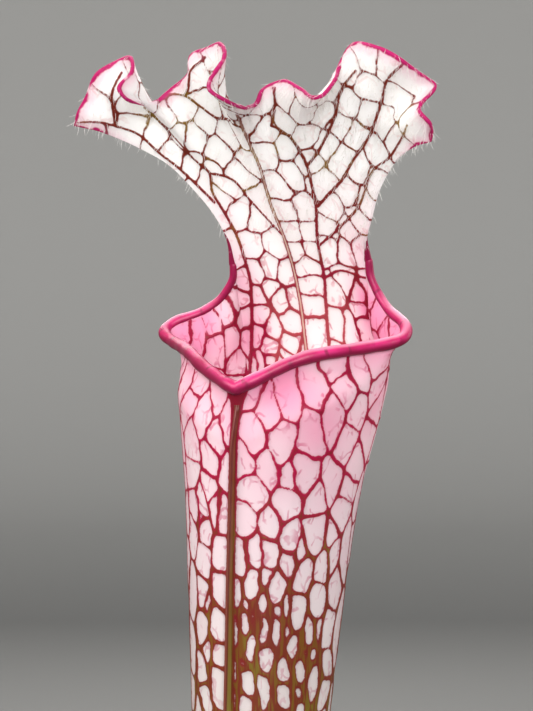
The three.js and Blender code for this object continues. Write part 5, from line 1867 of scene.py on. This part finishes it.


# ---- the room: a floor that curves up all round, with painted shade near the pot and a pale tone further out, and soft studio lights ----

FLOOR_FLAT, FLOOR_BEND, FLOOR_HEIGHT = 3200.0, 1500.0, 4200.0
FLOOR_SIDES = 96
# painted shade: the floor is dark near the pot, where the lamps light it most, and turns pale between
# these distances
FLOOR_SHADE_FULL, FLOOR_SHADE_GONE = 1.3, 4.4  # metres from the pot between which the floor gets paler
LIGHTS = (  # name, place in metres, size in metres, watts and colour
    ("key", (-1.1, -1.5, 1.9), 1.4, 60, (1.0, 0.98, 0.96)),
    ("fill", (1.3, -2.2, 1.1), 1.3, 74, (0.97, 0.98, 1.0)),
    ("back", (-0.7, 1.35, 1.35), 1.9, 38, (1.0, 0.99, 0.97)),
    ("back_right", (1.5, 1.1, 1.0), 1.6, 20, (1.0, 0.99, 0.98)),
)
LIGHTS_AIM_ABOVE = 20  # the middle of the mouth
SKY_COLOUR, SKY_STRENGTH = (0.95, 0.97, 1.0, 1), 0.5


def make_floor():
    turn = np.linspace(0, math.pi / 2, 16)[1:, None]
    bend = FLOOR_FLAT + FLOOR_BEND * np.sin(turn), FLOOR_BEND * (1 - np.cos(turn))
    wall = [(FLOOR_FLAT + FLOOR_BEND, FLOOR_HEIGHT)]
    profile = np.concatenate([[(0.5, 0.0), (FLOOR_FLAT, 0.0)], np.hstack(bend), wall])
    body = Body()
    ids = body.add(turned_rings(profile, FLOOR_SIDES))
    body.quads(grid_faces(ids, closed=True, flip=True))
    floor = body.finish("floor")
    finish = Finish("studio_floor", Roughness=0.8)
    # painted shade: darker near the pot, where the lamps light the floor most
    near = finish.step(finish.vector("LENGTH", {0: finish.place}, "Value"), FLOOR_SHADE_FULL, FLOOR_SHADE_GONE)
    tone = finish.blend(near, (0.10, 0.099, 0.095), (0.52, 0.512, 0.49))
    finish.colour(finish.blend(finish.noise(0.7, 2), tone, finish.blend(0.06, tone, (0.5, 0.5, 0.5))))
    finish.on(floor)


def make_lights():
    aim = Vector((MOUTH_CENTRE + np.array([0, 0, LIGHTS_AIM_ABOVE])) * MM)
    for name, place, size, watts, colour in LIGHTS:
        data = bpy.data.lights.new(name, "AREA")
        data.shape = "DISK"
        data.size = size
        data.energy = watts
        data.color = colour
        light = bpy.data.objects.new(name, data)
        light.location = place
        light.rotation_euler = (aim - Vector(place)).to_track_quat("-Z", "Y").to_euler()
        bpy.context.scene.collection.objects.link(light)
    world = bpy.data.worlds.new("studio")
    bpy.context.scene.world = world
    world.use_nodes = True
    sky = world.node_tree.nodes["Background"]
    sky.inputs[0].default_value = SKY_COLOUR
    sky.inputs[1].default_value = SKY_STRENGTH
    bpy.context.scene.view_settings.view_transform = "Standard"


# ---- putting it together ----


def wear(piece, finish, slot, *nodes):
    finish.on(piece)
    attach(piece, "root")
    if nodes:
        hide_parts(*nodes)


def place_at_mouth(piece):
    """Moves a mesh that was measured from the mouth to where the mouth is."""
    piece.data.transform(Matrix.Translation(Vector(MOUTH_CENTRE * MM)))


make_floor()
make_lights()

net = Net()
skin = pitcher_skin_finish()
leaf_nodes = ("pitcher_leaf", "tube_vein_net", "hood_vein_net")
hood_halves = [hood_skin(net, "pitcher_hood_left", -1), hood_skin(net, "pitcher_hood_right", 1)]
tube_pieces = [throat_skin(net), upper_tube_skin(net), lower_tube_skin(net)]
for piece in hood_halves + tube_pieces:
    place_at_mouth(piece)
    skin.on(piece)
strewer = Strewer()
strewn = []
hair, white = hair_shape(), hair_finish()
for name, half in zip(("hood_hairs_left", "hood_hairs_right"), hood_halves):
    strewn.append((strewer.strew(name, half, hair, white, HAIRS), white, "pitcher_skin"))
bed = soil()
crumbs = pebble("crumb", (1.3, 1.0, 0.8), 61, 1)
grains = pebble("grain", (1.0, 0.95, 0.8), 62)
sprig = moss_shape()
peat, perlite, moss = peat_finish(), perlite_finish(), moss_finish()
for name, shape, finish, settings in (
    ("peat_crumbs", crumbs, peat, CRUMBS),
    ("perlite_grains", grains, perlite, GRAINS),
    ("moss_cushions", sprig, moss, MOSS),
):
    strewn.append((strewer.strew(name, bed, shape, finish, settings), finish, "peat"))
for shape in (hair, crumbs, grains, sprig):
    bpy.data.objects.remove(shape)

for piece in hood_halves + tube_pieces:
    wear(piece, skin, "pitcher_skin", *leaf_nodes)
for piece, finish, slot in strewn:
    wear(piece, finish, slot)
wear(bed, peat, "peat", "soil")
leaf_green = green_leaf_finish()
for leaf in SWORD_LEAVES:
    wear(sword_leaf(**leaf), leaf_green, "green_leaf", leaf["name"])
wear(young_pitcher(), young_pitcher_finish(), "green_leaf", "young_pitcher")
wear(rhizome(), bark_finish(), "rhizome_bark", "rhizome")
wear(crown_scales(), scale_finish(), "rhizome_bark")
wear(pot(), pot_finish(), "pot_plastic", "pot")
wing = keel_wing()
place_at_mouth(wing)
wear(wing, keel_finish(), "pitcher_skin", "pitcher_leaf")
rolled = lip()
place_at_mouth(rolled)
wear(rolled, lip_finish(), "lip_skin", "pitcher_lip")
